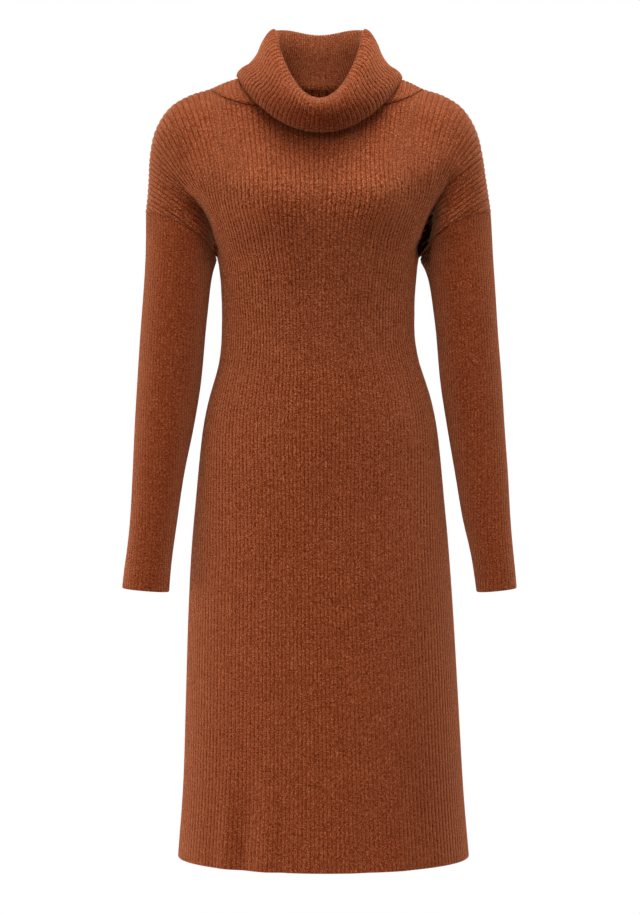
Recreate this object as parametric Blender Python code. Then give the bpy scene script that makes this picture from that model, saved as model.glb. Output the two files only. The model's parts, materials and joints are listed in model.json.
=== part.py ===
"""Roll-neck rib-knit sweater dress, standing open and hollow as it is worn.

Frame: +Z up, +X towards the wearer's left, the front faces -Y.  The origin is
the middle of the shoulder line, where the dress hangs on its wearer.  Metres.

The dress is cut in five pieces: front, back, two sleeves and a tube collar
that folds over on itself.  Each piece is one closed solid: a knit wall of even
thickness on both sides of a worked-out middle surface.

 * The body below the arms is a stack of level sections (half width, front and
   back depth), read from TORSO.
 * The body above the arms follows the knitted wales.  Each wale is drawn in the
   front view from the underarm level to the neck seam, the shoulder seam or the
   shoulder ridge, and is then set back by the depth of the chest, shoulder and
   upper arm at that place.  A deep fold runs up from each underarm.
 * The sleeves are rings between an outer and an inner edge line.
 * The collar is a set of rings from the neck seam up the inside, over the fold
   and down the outside to the free edge.
"""
import math

import bmesh
import bpy
import numpy as np

# --------------------------------------------------------------------------
# driving dimensions, metres
# --------------------------------------------------------------------------
WALL = 0.0026            # knit thickness
SEAM_GAP = 0.00036       # between two cut pieces at a seam
CORNER_GAP = 0.0006     # each piece's step back from a seam where three or more meet
UNDERARM_Z = -0.2265     # level where body and sleeve meet
FOLD_TOP_Z = -0.132      # top of the deep armpit fold
EDGE_RADIUS = 0.045      # rounding of the shoulder ridge, seen from the side
ARM_FRONT = 0.050        # upper arm, half depth to the front
ARM_BACK = 0.052         # upper arm, half depth to the back
NECK_HALF = 0.080        # half width of the neck seam
NECK_SIDE_Z = 0.0195     # neck seam at the side of the neck
NECK_FRONT_Z = -0.060    # neck seam, front centre
NECK_BACK_Z = 0.006      # neck seam, back centre
SEAM_NECK_ANGLE = 45.0   # where the shoulder seam meets the neck seam, degrees
                         # round the front neck curve from its centre
BUST_X, BUST_Z, BUST_RISE, BUST_R = 0.076, -0.150, 0.0100, 0.050

# body sections below the arms
#  z, half width, front depth, back depth, centre x, front fullness, back fullness
TORSO = [
    (-0.2265, 0.1335, 0.1130, 0.1030, -0.0022, 2.30, 2.25),
    (-0.2400, 0.1306, 0.1100, 0.1010, -0.0014, 2.28, 2.22),
    (-0.2570, 0.1292, 0.1066, 0.0975, -0.0014, 2.24, 2.19),
    (-0.2840, 0.1274, 0.1022, 0.0920, -0.0019, 2.18, 2.15),
    (-0.3240, 0.1273, 0.0982, 0.0870, -0.0017, 2.12, 2.11),
    (-0.3640, 0.1312, 0.0986, 0.0880, -0.0006, 2.10, 2.10),
    (-0.3910, 0.1392, 0.1018, 0.0930, 0.0005, 2.08, 2.10),
    (-0.4180, 0.1474, 0.1052, 0.0998, 0.0007, 2.06, 2.10),
    (-0.4580, 0.1553, 0.1098, 0.1098, 0.0007, 2.05, 2.10),
    (-0.5000, 0.1600, 0.1120, 0.1160, 0.0007, 2.05, 2.10),
    (-0.5500, 0.1646, 0.1138, 0.1178, 0.0007, 2.04, 2.08),
    (-0.6100, 0.1701, 0.1155, 0.1172, 0.0008, 2.02, 2.05),
    (-0.7000, 0.1757, 0.1182, 0.1158, 0.0017, 2.00, 2.02),
    (-0.8200, 0.1810, 0.1228, 0.1170, 0.0034, 2.00, 2.00),
    (-0.9300, 0.1858, 0.1286, 0.1205, 0.0048, 2.00, 2.00),
    (-1.0280, 0.1934, 0.1360, 0.1260, 0.0053, 2.00, 2.00),
]
# body depth above the arms, on the centre line, and how far the shoulders and
# the chest are off the middle
#  z, front depth, back depth, shoulder centre x, chest centre x
CHEST = [
    (0.0195, 0.0330, 0.0420, -0.0016, 0.0000),
    (0.0060, 0.0440, 0.0500, -0.0026, 0.0000),
    (-0.0100, 0.0520, 0.0570, -0.0046, 0.0000),
    (-0.0300, 0.0620, 0.0670, -0.0050, 0.0000),
    (-0.0500, 0.0720, 0.0760, -0.0050, 0.0000),
    (-0.0700, 0.0835, 0.0835, -0.0048, -0.0002),
    (-0.0950, 0.0985, 0.0915, -0.0042, -0.0006),
    (-0.1250, 0.1125, 0.0985, -0.0028, -0.0012),
    (-0.1480, 0.1200, 0.1022, -0.0018, -0.0015),
    (-0.1650, 0.1212, 0.1038, -0.0016, -0.0018),
    (-0.1900, 0.1188, 0.1045, -0.0018, -0.0020),
    (-0.2265, 0.1130, 0.1030, -0.0022, -0.0022),
]
# the outline of the shoulder and upper arm, seen from the front
#  half width, z
SHOULDER = [
    (0.0800, 0.0195), (0.1202, 0.0072), (0.1430, -0.0032), (0.1648, -0.0100),
    (0.1840, -0.0196), (0.1966, -0.0300), (0.2078, -0.0459), (0.2165, -0.0670),
    (0.2217, -0.0952), (0.2244, -0.1229), (0.2271, -0.1480), (0.2297, -0.1680),
]
SHOULDER_SEAM_CROSS = 2      # row where the shoulder seam goes over the ridge
# the shoulder seam on the front, from the neck seam out to the ridge
#  half width, z
SHOULDER_SEAM = [(0.0940, -0.0308), (0.1230, -0.0190)]
RIDGE_BODY_END = (0.2213, -0.0925)   # last body wale that starts on the chest
# the armpit fold: where it runs, how far it is filled in (1 = no fold), and how
# wide its floor is before the cloth rises again on the arm
#  z, left x, right x, left fill, right fill, back fill, left floor, right floor
FOLD = [
    (-0.2265, 0.1335, 0.1335, 0.00, 0.00, 0.00, 0.0045, 0.0060),
    (-0.2130, 0.1352, 0.1342, 0.06, 0.05, 0.09, 0.0040, 0.0130),
    (-0.1960, 0.1390, 0.1372, 0.12, 0.09, 0.18, 0.0030, 0.0145),
    (-0.1800, 0.1445, 0.1425, 0.20, 0.12, 0.28, 0.0020, 0.0110),
    (-0.1670, 0.1515, 0.1488, 0.32, 0.17, 0.38, 0.0010, 0.0070),
    (-0.1550, 0.1600, 0.1562, 0.50, 0.26, 0.52, 0.0000, 0.0030),
    (-0.1450, 0.1690, 0.1630, 0.70, 0.42, 0.66, 0.0000, 0.0000),
    (-0.1320, 0.1800, 0.1700, 0.88, 0.70, 0.82, 0.0000, 0.0000),
    (-0.1150, 0.1880, 0.1760, 0.98, 0.93, 0.96, 0.0000, 0.0000),
    (-0.0950, 0.1900, 0.1800, 1.00, 1.00, 1.00, 0.0000, 0.0000),
    (0.0300, 0.1900, 0.1820, 1.00, 1.00, 1.00, 0.0000, 0.0000),
]
# the wall of the fold on the arm's side: how wide it is and how round
#  z, left, right, back, roundness (1 = straight, 2 = round)
FOLD_WALL = [
    (-0.2265, 0.0380, 0.0330, 0.0370, 1.10),
    (-0.2130, 0.0360, 0.0270, 0.0340, 1.35),
    (-0.1960, 0.0330, 0.0210, 0.0280, 1.70),
    (-0.1750, 0.0300, 0.0180, 0.0240, 2.00),
    (-0.1300, 0.0280, 0.0180, 0.0240, 2.00),
]
# lean of the wales where they end, degrees outwards from upright
#  place across the body (0 = centre, 1 = last), lean
WALE_LEAN = [(0.0, 0.0), (0.22, 2.0), (0.40, 5.0), (0.56, 10.0), (0.68, 18.0),
             (0.80, 30.0), (0.90, 41.0), (1.0, 50.0)]
# sleeve edge lines, seen from the front
#  z, left outer, left inner, right outer, right inner
SLEEVE_EDGE = [
    (-0.1600, 0.2300, 0.1550, 0.2292, 0.1560),
    (-0.2265, 0.2316, 0.1450, 0.2312, 0.1455),
    (-0.2620, 0.2336, 0.1472, 0.2335, 0.1492),
    (-0.3260, 0.2382, 0.1535, 0.2372, 0.1572),
    (-0.3900, 0.2420, 0.1590, 0.2420, 0.1624),
    (-0.4540, 0.2454, 0.1690, 0.2456, 0.1718),
    (-0.5180, 0.2478, 0.1818, 0.2498, 0.1824),
    (-0.5800, 0.2508, 0.1905, 0.2528, 0.1925),
    (-0.6200, 0.2548, 0.1960, 0.2560, 0.2020),
    (-0.6500, 0.2590, 0.1992, 0.2590, 0.2068),
    (-0.6750, 0.2612, 0.2008, 0.2608, 0.2100),
]
# sleeve rings: level of the ring's middle, how much higher its outer side is,
# how far forward its middle is, half depth
#  z, rise, forward, half depth
SLEEVE_RING = [
    (-0.1970, 0.0590, 0.0000, 0.0510),
    (-0.2130, 0.0480, 0.0000, 0.0510),
    (-0.2320, 0.0350, 0.0003, 0.0505),
    (-0.2600, 0.0210, 0.0010, 0.0500),
    (-0.3000, 0.0110, 0.0025, 0.0490),
    (-0.3450, 0.0070, 0.0050, 0.0480),
    (-0.3950, 0.0060, 0.0080, 0.0465),
    (-0.4450, 0.0060, 0.0115, 0.0440),
    (-0.5000, 0.0060, 0.0160, 0.0405),
    (-0.5550, 0.0060, 0.0210, 0.0375),
    (-0.6050, 0.0058, 0.0255, 0.0350),
    (-0.6450, 0.0055, 0.0285, 0.0342),
    (-0.6700, 0.0052, 0.0300, 0.0340),
]
# collar rings from the neck seam over the fold to the free edge; the last
# column is how sharply the ring dips towards the front centre
#  half width, front depth, back depth, z front, z side, z back, droop
COLLAR = [
    (0.0710, 0.0820, 0.0550, -0.0515, 0.0320, 0.0220, 1.10),
    (0.0612, 0.0885, 0.0585, -0.0425, 0.0470, 0.0430, 1.40),
    (0.0550, 0.0945, 0.0615, -0.0345, 0.0645, 0.0655, 1.90),
    (0.0590, 0.1000, 0.0665, -0.0288, 0.0775, 0.0812, 2.50),
    (0.0672, 0.1068, 0.0735, -0.0298, 0.0740, 0.0800, 2.45),
    (0.0757, 0.1130, 0.0795, -0.0360, 0.0605, 0.0665, 2.30),
    (0.0826, 0.1162, 0.0835, -0.0445, 0.0440, 0.0485, 2.10),
    (0.0925, 0.1162, 0.0865, -0.0535, 0.0312, 0.0300, 1.90),
    (0.1022, 0.1140, 0.0885, -0.0610, 0.0255, 0.0130, 1.75),
    (0.1080, 0.1108, 0.0900, -0.0675, 0.0204, -0.0010, 1.65),
    (0.1100, 0.1068, 0.0905, -0.0725, 0.0155, -0.0130, 1.60),
]
COLLAR_HUMP = 0.0050     # the fold stands a little higher left and right of the nape
COLLAR_TILT = 0.0016     # the folded-down part hangs lower on the wearer's left

# facets
N_NECK, N_SEAM, N_RIDGE = 5, 5, 6     # columns of half a panel, from its centre
N_FOLD = 4                            # rows up the armpit fold
N_TOP = 7                             # rows from there to the top edge
N_WEDGE = 3                           # rows of the back piece in front of the ridge
N_SKIRT = 12                          # rows below the arms


# --------------------------------------------------------------------------
# small curve helpers
# --------------------------------------------------------------------------
def slopes(xs, ys):
    """Tangents of a shape-keeping cubic through the points."""
    h = np.diff(xs)
    d = np.diff(ys) / h
    m = np.zeros(len(xs))
    m[0], m[-1] = d[0], d[-1]
    for i in range(1, len(xs) - 1):
        if d[i - 1] * d[i] > 0:
            w1, w2 = 2 * h[i] + h[i - 1], h[i] + 2 * h[i - 1]
            m[i] = (w1 + w2) / (w1 / d[i - 1] + w2 / d[i])
    return m


def table(rows, column, x):
    """A column of a table at x, by the smooth curve through its rows."""
    rows = sorted(rows, key=lambda r: r[0])
    xs = np.array([r[0] for r in rows])
    ys = np.array([r[column] for r in rows])
    m = slopes(xs, ys)
    x = np.clip(np.asarray(x, float), xs[0], xs[-1])
    i = np.clip(np.searchsorted(xs, x) - 1, 0, len(xs) - 2)
    h = xs[i + 1] - xs[i]
    t = (x - xs[i]) / h
    return ((1 + 2 * t) * (1 - t) ** 2 * ys[i] + t * (1 - t) ** 2 * h * m[i]
            + t * t * (3 - 2 * t) * ys[i + 1] - t * t * (1 - t) * h * m[i + 1])


def length_along(p):
    return np.concatenate([[0.0], np.cumsum(np.linalg.norm(np.diff(p, axis=0), axis=1))])


def at_fraction(p, f):
    """Points of polyline p at the fractions f of its length."""
    s = length_along(p)
    s = s / s[-1]
    return np.stack([np.interp(f, s, p[:, k]) for k in range(p.shape[1])], axis=1)


def smooth_line(knots, per=24):
    """A round line through a few knots."""
    k = np.array(knots, float)
    s = length_along(k)
    rows = [(s[i],) + tuple(k[i]) for i in range(len(k))]
    u = np.concatenate([np.linspace(a, b, per + 1)[:-1] for a, b in zip(s[:-1], s[1:])]
                       + [s[-1:]])
    # tangents over each knot's neighbours, so that the line has no flat spots
    m = np.zeros_like(k)
    m[1:-1] = (k[2:] - k[:-2]) / (s[2:] - s[:-2])[:, None]
    m[0] = (k[1] - k[0]) / (s[1] - s[0])
    m[-1] = (k[-1] - k[-2]) / (s[-1] - s[-2])
    i = np.clip(np.searchsorted(s, u) - 1, 0, len(s) - 2)
    h = (s[i + 1] - s[i])[:, None]
    t = ((u - s[i]) / (s[i + 1] - s[i]))[:, None]
    return ((1 + 2 * t) * (1 - t) ** 2 * k[i] + t * (1 - t) ** 2 * h * m[i]
            + t * t * (3 - 2 * t) * k[i + 1] - t * t * (1 - t) * h * m[i + 1])


def bezier(p0, a0, p3, a3, n, hold=0.36):
    """Cubic in the front view from p0 to p3; a0 and a3 are leans in degrees."""
    p0, p3 = np.array(p0, float), np.array(p3, float)
    reach = np.linalg.norm(p3 - p0) * hold
    d0 = np.array([math.sin(math.radians(a0)), math.cos(math.radians(a0))])
    d3 = np.array([math.sin(math.radians(a3)), math.cos(math.radians(a3))])
    p1, p2 = p0 + d0 * reach, p3 - d3 * reach
    t = np.linspace(0, 1, n)
    t = np.sin(t * math.pi / 2)[:, None]        # closer together near the end
    return ((1 - t) ** 3 * p0 + 3 * t * (1 - t) ** 2 * p1
            + 3 * t * t * (1 - t) * p2 + t ** 3 * p3)


def ease(t):
    t = np.clip(t, 0.0, 1.0)
    return t * t * (3 - 2 * t)


# --------------------------------------------------------------------------
# the body's depth in the front view (x is measured from the centre line)
# --------------------------------------------------------------------------
RIDGE = smooth_line(SHOULDER)
OUTLINE = np.vstack([RIDGE, [[0.2312, -0.2265], [0.2335, -0.2620], [0.2370, -0.3260]]])


def ridge_gap(x, z):
    """Distance in the front view to the outline of shoulder and arm."""
    p = np.stack([np.abs(x), z], axis=-1)
    best = np.full(p.shape[:-1], 9.0)
    for a, b in zip(OUTLINE[:-1], OUTLINE[1:]):
        ab = b - a
        t = np.clip(((p - a) @ ab) / (ab @ ab), 0, 1)
        best = np.minimum(best, np.linalg.norm(p - a - t[..., None] * ab, axis=-1))
    return best


def fold_x(z, side, face):
    if face == "back":
        side = "left"
    return table(FOLD, 1 if side == "left" else 2, z)


def depth(x, z, side, face):
    """How far the cloth stands off the side plane at (x, z)."""
    ax = np.abs(x)
    wide = fold_x(z, side, face)
    fill = table(FOLD, 5 if face == "back" else (3 if side == "left" else 4), z)
    keep = 1.0 - fill
    centre = table(CHEST, 1 if face == "front" else 2, z)
    full = 2.30 if face == "front" else 2.25
    u = np.clip(ax / wide, 0, 1)
    hollow = (1 - u ** full) ** (1 / full)
    open_ = 1 - 0.24 * (ax / 0.16) ** 2
    chest = centre * (keep * hollow + fill * open_)
    if face == "front":
        r2 = ((ax - BUST_X) ** 2 + ((z - BUST_Z) * 1.05) ** 2) / BUST_R ** 2
        chest = chest + BUST_RISE * np.exp(-r2) * ease((UNDERARM_Z + 0.02 - z) / -0.03)
    arm = ARM_FRONT if face == "front" else ARM_BACK
    wall = table(FOLD_WALL, 3 if face == "back" else (1 if side == "left" else 2), z)
    turn = table(FOLD_WALL, 4, z)
    floor = 0.003 if face == "back" else table(FOLD, 6 if side == "left" else 7, z)
    s = np.clip((ax - wide - floor) / wall, 0, 1)
    arm = arm * (keep * (1 - (1 - s) ** turn) ** (1 / turn) + fill)
    half = 0.0004 + 0.035 * fill
    w = ease((ax - wide + half) / (2 * half))
    d = np.clip(ridge_gap(x, z) / EDGE_RADIUS, 0, 1)
    return (chest * (1 - w) + arm * w) * np.sqrt(1 - (1 - d) ** 2)


def centre_x(x, z):
    """The shoulders hang a few millimetres to the wearer's right of the neck."""
    inner = table(CHEST, 4, z)
    return inner + (table(CHEST, 3, z) - inner) * ease(np.abs(x) / 0.14)


def place(path, side, face):
    """Front-view path (right-hand side) to 3-D points."""
    x, z = path[:, 0], path[:, 1]
    y = depth(x, z, side, face) * (-1 if face == "front" else 1)
    sx = 1 if side == "right" else -1
    return np.stack([sx * x + centre_x(x, z), y, z], axis=1)


# --------------------------------------------------------------------------
# body below the arms
# --------------------------------------------------------------------------
def half_section(z, face, side, g, even):
    """Points of a half section from its centre (g = 0) to the side seam (1).
    even > 0 spaces them wider at the centre than at the side."""
    half = float(table(TORSO, 1, z))
    deep = float(table(TORSO, 2 if face == "front" else 3, z))
    full = float(table(TORSO, 5 if face == "front" else 6, z))
    mid = float(table(TORSO, 4, z))
    a = np.linspace(0, math.pi / 2, 181)
    x = half * np.sin(a) ** (2 / full)
    y = deep * np.cos(a) ** (2 / full)
    p = np.stack([x, y], axis=1)
    g = np.asarray(g, float)
    f = g + even / math.pi * np.sin(math.pi * g)
    q = at_fraction(p, f)
    sx = 1 if side == "right" else -1
    sy = -1 if face == "front" else 1
    return np.stack([sx * q[:, 0] + mid, sy * q[:, 1], np.full(len(q), z)], axis=1)


def evenness(z):
    """Wale spacing: wider at the centre at bust and waist, even at the hem."""
    return float(np.interp(z, [-1.028, -0.60, -0.48, -0.32, -0.2265],
                           [0.0, 0.03, 0.07, 0.20, 0.22]))


# --------------------------------------------------------------------------
# body above the arms
# --------------------------------------------------------------------------
def neck_front(b):
    """Front neck curve in the front view, b degrees round from its centre."""
    b = np.radians(b)
    return np.stack([NECK_HALF * np.sin(b),
                     NECK_FRONT_Z + (NECK_SIDE_Z - NECK_FRONT_Z) * (1 - np.cos(b))], axis=-1)


def neck_back(b):
    b = np.radians(b)
    return np.stack([NECK_HALF * np.sin(b),
                     NECK_BACK_Z + (NECK_SIDE_Z - NECK_BACK_Z) * (1 - np.cos(b))], axis=-1)


def seam_line():
    start = neck_front(np.array(SEAM_NECK_ANGLE))
    return smooth_line([tuple(start)] + SHOULDER_SEAM + [SHOULDER[SHOULDER_SEAM_CROSS]])


def ridge_part(p, q):
    """The stretch of the ridge between its points nearest to p and q."""
    i = int(np.argmin(np.linalg.norm(RIDGE - np.array(p), axis=1)))
    j = int(np.argmin(np.linalg.norm(RIDGE - np.array(q), axis=1)))
    return RIDGE[i:j + 1]


# share of half the panel's wales that end on the neck seam, and up to the
# place where the shoulder seam goes over the ridge
SHARE = {"front": (0.22, 0.56), "back": (0.29, 0.56)}


def top_point(g, face):
    """Where the wale at g ends, in the front view."""
    neck, cross = SHARE[face]
    if g <= neck:
        b = g / neck
        if face == "front":
            return neck_front(np.array(b * SEAM_NECK_ANGLE))
        return neck_back(np.array(b * 90.0))
    if g <= cross:
        f = (g - neck) / (cross - neck)
        line = seam_line() if face == "front" else \
            ridge_part(SHOULDER[0], SHOULDER[SHOULDER_SEAM_CROSS])
        return at_fraction(line, [f])[0]
    f = (g - cross) / (1 - cross)
    return at_fraction(ridge_part(SHOULDER[SHOULDER_SEAM_CROSS], RIDGE_BODY_END), [f])[0]


def fold_point(side, face):
    return np.array([float(fold_x(FOLD_TOP_Z, side, face)), FOLD_TOP_Z])


def body_wale(g, side, face, n_low, n_high):
    """One wale of the body from the underarm level up, as 3-D points:
    n_low rows up to the level of the fold's top, n_high rows from there."""
    start = half_section(UNDERARM_Z, face, side, [g], evenness(UNDERARM_Z))[0]
    a = np.array([abs(start[0] - TORSO[0][4]), UNDERARM_Z])
    t = fold_point(side, face)
    # evenly spaced on the chest, then close together on the wall of the fold
    wide = 0.27 if face == "front" else 0.25
    limit = wide / ((wide / t[0]) ** 6 - 1) ** (1 / 6)
    m = np.array([wide * g / (1 + (wide * g / limit) ** 6) ** (1 / 6), FOLD_TOP_Z])
    lean = 6 * g + 34 * g ** 6
    top = top_point(g, face)
    low = bezier(a, 0, m, lean * 0.4, 60)
    high = bezier(m, lean, top, float(table(WALE_LEAN, 1, g)), 120)
    low3, high3 = place(low, side, face), place(high, side, face)
    low3[0] = start
    return np.vstack([at_fraction(low3, np.linspace(0, 1, n_low + 1)),
                      at_fraction(high3, np.linspace(0, 1, n_high + 1))[1:]])


def arm_wale(k, side, face, n):
    """One wale of the drop shoulder beside the body's last one.
    k = 0 starts at the fold's top, k = 1 is the armhole seam."""
    t = fold_point(side, face)
    z = FOLD_TOP_Z + (UNDERARM_Z - FOLD_TOP_Z) * k
    p0 = np.array([float(fold_x(z, side, face)), z])
    p3 = at_fraction(ridge_part(RIDGE_BODY_END, SHOULDER[-1]), [k])[0]
    lean0, lean3 = 40 - 2 * k, 50 + 24 * k
    f = np.linspace(0, 1, n + 1)
    f = f ** (1.15 + 0.6 * k)                   # closer together near the fold
    return at_fraction(place(bezier(p0, lean0, p3, lean3, 160), side, face), f)


def wedge_wale(f, side, n):
    """The back piece where it comes over the ridge to the shoulder seam.
    f = 0 lies along the neck seam, f = 1 is where seam and ridge cross."""
    if f == 0:
        path = neck_front(np.linspace(90, SEAM_NECK_ANGLE, 60))
    else:
        q = at_fraction(ridge_part(SHOULDER[0], SHOULDER[SHOULDER_SEAM_CROSS]), [f])[0]
        s = at_fraction(seam_line(), [f])[0]
        if f >= 1:
            return np.repeat(place(q[None, :], side, "front"), n + 1, axis=0)
        c = 0.5 * (q + s) + 0.22 * np.linalg.norm(s - q) * np.array([1.0, 0.15])
        t = (1 - np.cos(np.linspace(0, 1, 60) * math.pi / 2))[:, None]
        path = (1 - t) ** 2 * q + 2 * t * (1 - t) * c + t * t * s
    return at_fraction(place(path, side, "front"), np.linspace(0, 1, n + 1))


def underarm_point(side):
    sx = 1 if side == "right" else -1
    return np.array([sx * TORSO[0][1] + TORSO[0][4], 0.0, UNDERARM_Z])


# --------------------------------------------------------------------------
# sleeve and collar
# --------------------------------------------------------------------------
def armhole_loop(side, n):
    """Armhole seam as a closed loop: from the underarm up the front to the
    outer side and down the back."""
    front = arm_wale(1.0, side, "front", n)
    back = arm_wale(1.0, side, "back", n)
    front[0] = back[0] = underarm_point(side)
    return np.vstack([front, back[::-1][1:-1]])


def sleeve_point(side, v, a):
    """Point of the sleeve at fraction v of its ring table, angle a (radians,
    0 = inner side, pi/2 = front, pi = outer side)."""
    n = len(SLEEVE_RING) - 1
    rows = [(i / n,) + SLEEVE_RING[i] for i in range(n + 1)]
    z, rise = float(table(rows, 1, v)), float(table(rows, 2, v))
    fwd, deep = float(table(rows, 3, v)), float(table(rows, 4, v))
    c = (1, 2) if side == "left" else (3, 4)
    zo, zi = z + rise / 2, z - rise / 2
    xo, xi = float(table(SLEEVE_EDGE, c[0], zo)), float(table(SLEEVE_EDGE, c[1], zi))
    w = -np.cos(a)                              # -1 inner .. +1 outer
    full = 2.15
    s = np.sign(np.sin(a)) * np.abs(np.sin(a)) ** (2 / full)
    w = np.sign(w) * np.abs(w) ** (2 / full)
    x = (xo + xi) / 2 + w * (xo - xi) / 2
    sx = 1 if side == "right" else -1
    return np.stack([sx * x, -fwd - s * deep, z + w * rise / 2], axis=-1)


def collar_point(v, phi):
    """Collar middle surface; v runs over COLLAR's rows, phi is 0 at the front
    centre and grows towards +X."""
    n = len(COLLAR) - 1
    rows = [(i / n,) + COLLAR[i] for i in range(n + 1)]
    half, fd, bd, zf, zs, zb, droop = [float(table(rows, k, v)) for k in range(1, 8)]
    c, s = np.cos(phi), np.sin(phi)
    front = c > 0
    y = np.where(front, -fd * c, -bd * c)
    dip = np.abs(c) ** droop
    z = np.where(front, zs + (zf - zs) * dip, zs + (zb - zs) * np.abs(c) ** 2)
    hump = COLLAR_HUMP * np.sin(2 * phi) ** 2 * (c < 0) * math.exp(-((v - 0.32) / 0.22) ** 2)
    tilt = COLLAR_TILT * ease((v - 0.4) / 0.4) * s
    return np.stack([half * s, y, z + hump - tilt], axis=-1)


# --------------------------------------------------------------------------
# the whole middle surface, welded, with each face in its piece
# --------------------------------------------------------------------------
class Surface:
    def __init__(self):
        self.points, self.index, self.faces = [], {}, []

    def vertex(self, p):
        """Index of the vertex at p; points closer than 0.06 mm are one."""
        p = np.array(p, float)
        cell = np.floor(p / 6e-5).astype(int)
        for dx in (-1, 0, 1):
            for dy in (-1, 0, 1):
                for dz in (-1, 0, 1):
                    i = self.index.get((cell[0] + dx, cell[1] + dy, cell[2] + dz))
                    if i is not None and np.linalg.norm(self.points[i] - p) < 6e-5:
                        return i
        self.index[tuple(cell)] = len(self.points)
        self.points.append(p)
        return len(self.points) - 1

    def quad(self, piece, a, b, c, d):
        ids = []
        for p in (a, b, c, d):
            i = self.vertex(p)
            if i not in ids:
                ids.append(i)
        if len(ids) > 2:
            self.faces.append((piece, ids))

    def grid(self, piece, rows, outward):
        """rows: list of rows of points.  outward = +1 or -1 sets the winding."""
        for r0, r1 in zip(rows[:-1], rows[1:]):
            for j in range(len(r0) - 1):
                q = (r0[j], r0[j + 1], r1[j + 1], r1[j])
                self.quad(piece, *(q if outward > 0 else q[::-1]))


def columns(face):
    neck, cross = SHARE[face]
    return np.concatenate([np.linspace(0, neck, N_NECK + 1),
                           np.linspace(neck, cross, N_SEAM + 1)[1:],
                           np.linspace(cross, 1, N_RIDGE + 1)[1:]])


def build_surface():
    s = Surface()
    skirt_z = UNDERARM_Z + (TORSO[-1][0] - UNDERARM_Z) * (
        np.linspace(0, 1, N_SKIRT + 1) ** 1.25)
    for face in ("front", "back"):
        piece = face + "_panel"
        g = columns(face)
        for side in ("left", "right"):
            sign = (-1 if side == "right" else 1) * (1 if face == "front" else -1)
            low = [half_section(z, face, side, g, evenness(z)) for z in skirt_z]
            wales = [body_wale(x, side, face, N_FOLD, N_TOP) for x in g]
            upper = [np.array([w[i] for w in wales]) for i in range(N_FOLD + N_TOP + 1)]
            for row in low + upper:
                row[0][0] = float(row[0][0])
            upper[0] = low[0]
            under = underarm_point(side)
            low[0][-1] = under
            upper[0][-1] = under
            for r in low:                       # the side seam lies in the side plane
                r[-1][1] = 0.0
            arm = [arm_wale(k / N_FOLD, side, face, N_TOP) for k in range(N_FOLD + 1)]
            arm[-1][0] = under
            arm[0] = np.array([upper[i][-1] for i in range(N_FOLD, N_FOLD + N_TOP + 1)])
            for i in range(N_FOLD + 1):
                upper[N_FOLD - i][-1] = arm[i][0]
            for w in arm:                       # ends on the ridge, shared by both faces
                w[-1][1] = 0.0
            for j, x in enumerate(g):
                if x >= SHARE[face][1] - 1e-9 or (face == "back" and x >= SHARE[face][0] - 1e-9):
                    upper[-1][j][1] = 0.0
            s.grid(piece, low, sign)
            s.grid(piece, upper, -sign)
            s.grid(piece, arm, sign)
            if face == "back":
                wedge = [wedge_wale(k / N_SEAM, side, N_WEDGE) for k in range(N_SEAM + 1)]
                for k in range(N_SEAM + 1):
                    wedge[k][0] = upper[-1][N_NECK + k]
                    w_end = top_point(SHARE["front"][0] + (SHARE["front"][1] - SHARE["front"][0])
                                      * k / N_SEAM, "front")
                    wedge[k][-1] = place(w_end[None, :], side, "front")[0]
                wedge[N_SEAM][:] = upper[-1][N_NECK + N_SEAM]
                s.grid(piece, wedge, sign)
    # the wale that ends where seam and ridge cross lies on the ridge
    for side in ("left", "right"):
        loop = armhole_loop(side, N_TOP)
        loop[N_TOP][1] = 0.0
        m = len(loop)
        ang = np.arange(m) * 2 * math.pi / m
        rings = [loop]
        base0 = sleeve_point(side, 0.0, ang)
        nr = len(SLEEVE_RING)
        for i in range(1, nr):
            v = i / (nr - 1)
            fade = max(0.0, 1 - v / 0.28) ** 2
            rings.append(sleeve_point(side, v, ang) + (loop - base0) * fade)
        rings = [np.vstack([r, r[:1]]) for r in rings]
        s.grid("sleeve_" + side, rings, 1 if side == "left" else -1)
    # collar, on the neck seam loop
    loop = neck_loop()
    phi = np.arctan2(loop[:, 0] / NECK_HALF,
                     np.where(loop[:, 1] < 0, -loop[:, 1] / 0.077, -loop[:, 1] / 0.050))
    phi = np.unwrap(phi)
    even = np.arange(len(loop)) * 2 * math.pi / len(loop)
    rings = [loop]
    for i in range(len(COLLAR)):
        f = ease((i + 1) / 5)
        rings.append(collar_point(i / (len(COLLAR) - 1), phi * (1 - f) + even * f))
    rings = [np.vstack([r, r[:1]]) for r in rings]
    s.grid("collar", rings, 1)
    return s


def neck_loop():
    """Neck seam, from the front centre round the right side to the back."""
    loops = {}
    for side in ("left", "right"):
        pts = []
        for g in np.linspace(0, SHARE["front"][0], N_NECK + 1):
            pts.append(place(top_point(g, "front")[None, :], side, "front")[0])
        w = wedge_wale(0, side, N_WEDGE)[::-1]
        pts += list(w[1:-1])
        back = []
        for g in np.linspace(SHARE["back"][0], 0, N_NECK + 1):
            back.append(place(top_point(g, "back")[None, :], side, "back")[0])
        back[0][1] = 0.0
        pts += back
        loops[side] = np.array(pts)
    return np.vstack([loops["right"], loops["left"][::-1][1:-1]])


def outward_normals(points, faces):
    """Vertex normals, each face weighted by its corner angle."""
    n = np.zeros_like(points)
    for _, ids in faces:
        c = points[ids]
        v = sum(np.cross(c[i], c[(i + 1) % len(ids)]) for i in range(len(ids)))
        v = v / np.linalg.norm(v)
        for k, i in enumerate(ids):
            a, b = c[k - 1] - c[k], c[(k + 1) % len(ids)] - c[k]
            angle = a @ b / np.linalg.norm(a) / np.linalg.norm(b)
            n[i] += v * math.acos(max(-1.0, min(1.0, angle)))
    return n / np.linalg.norm(n, axis=1)[:, None]


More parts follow.
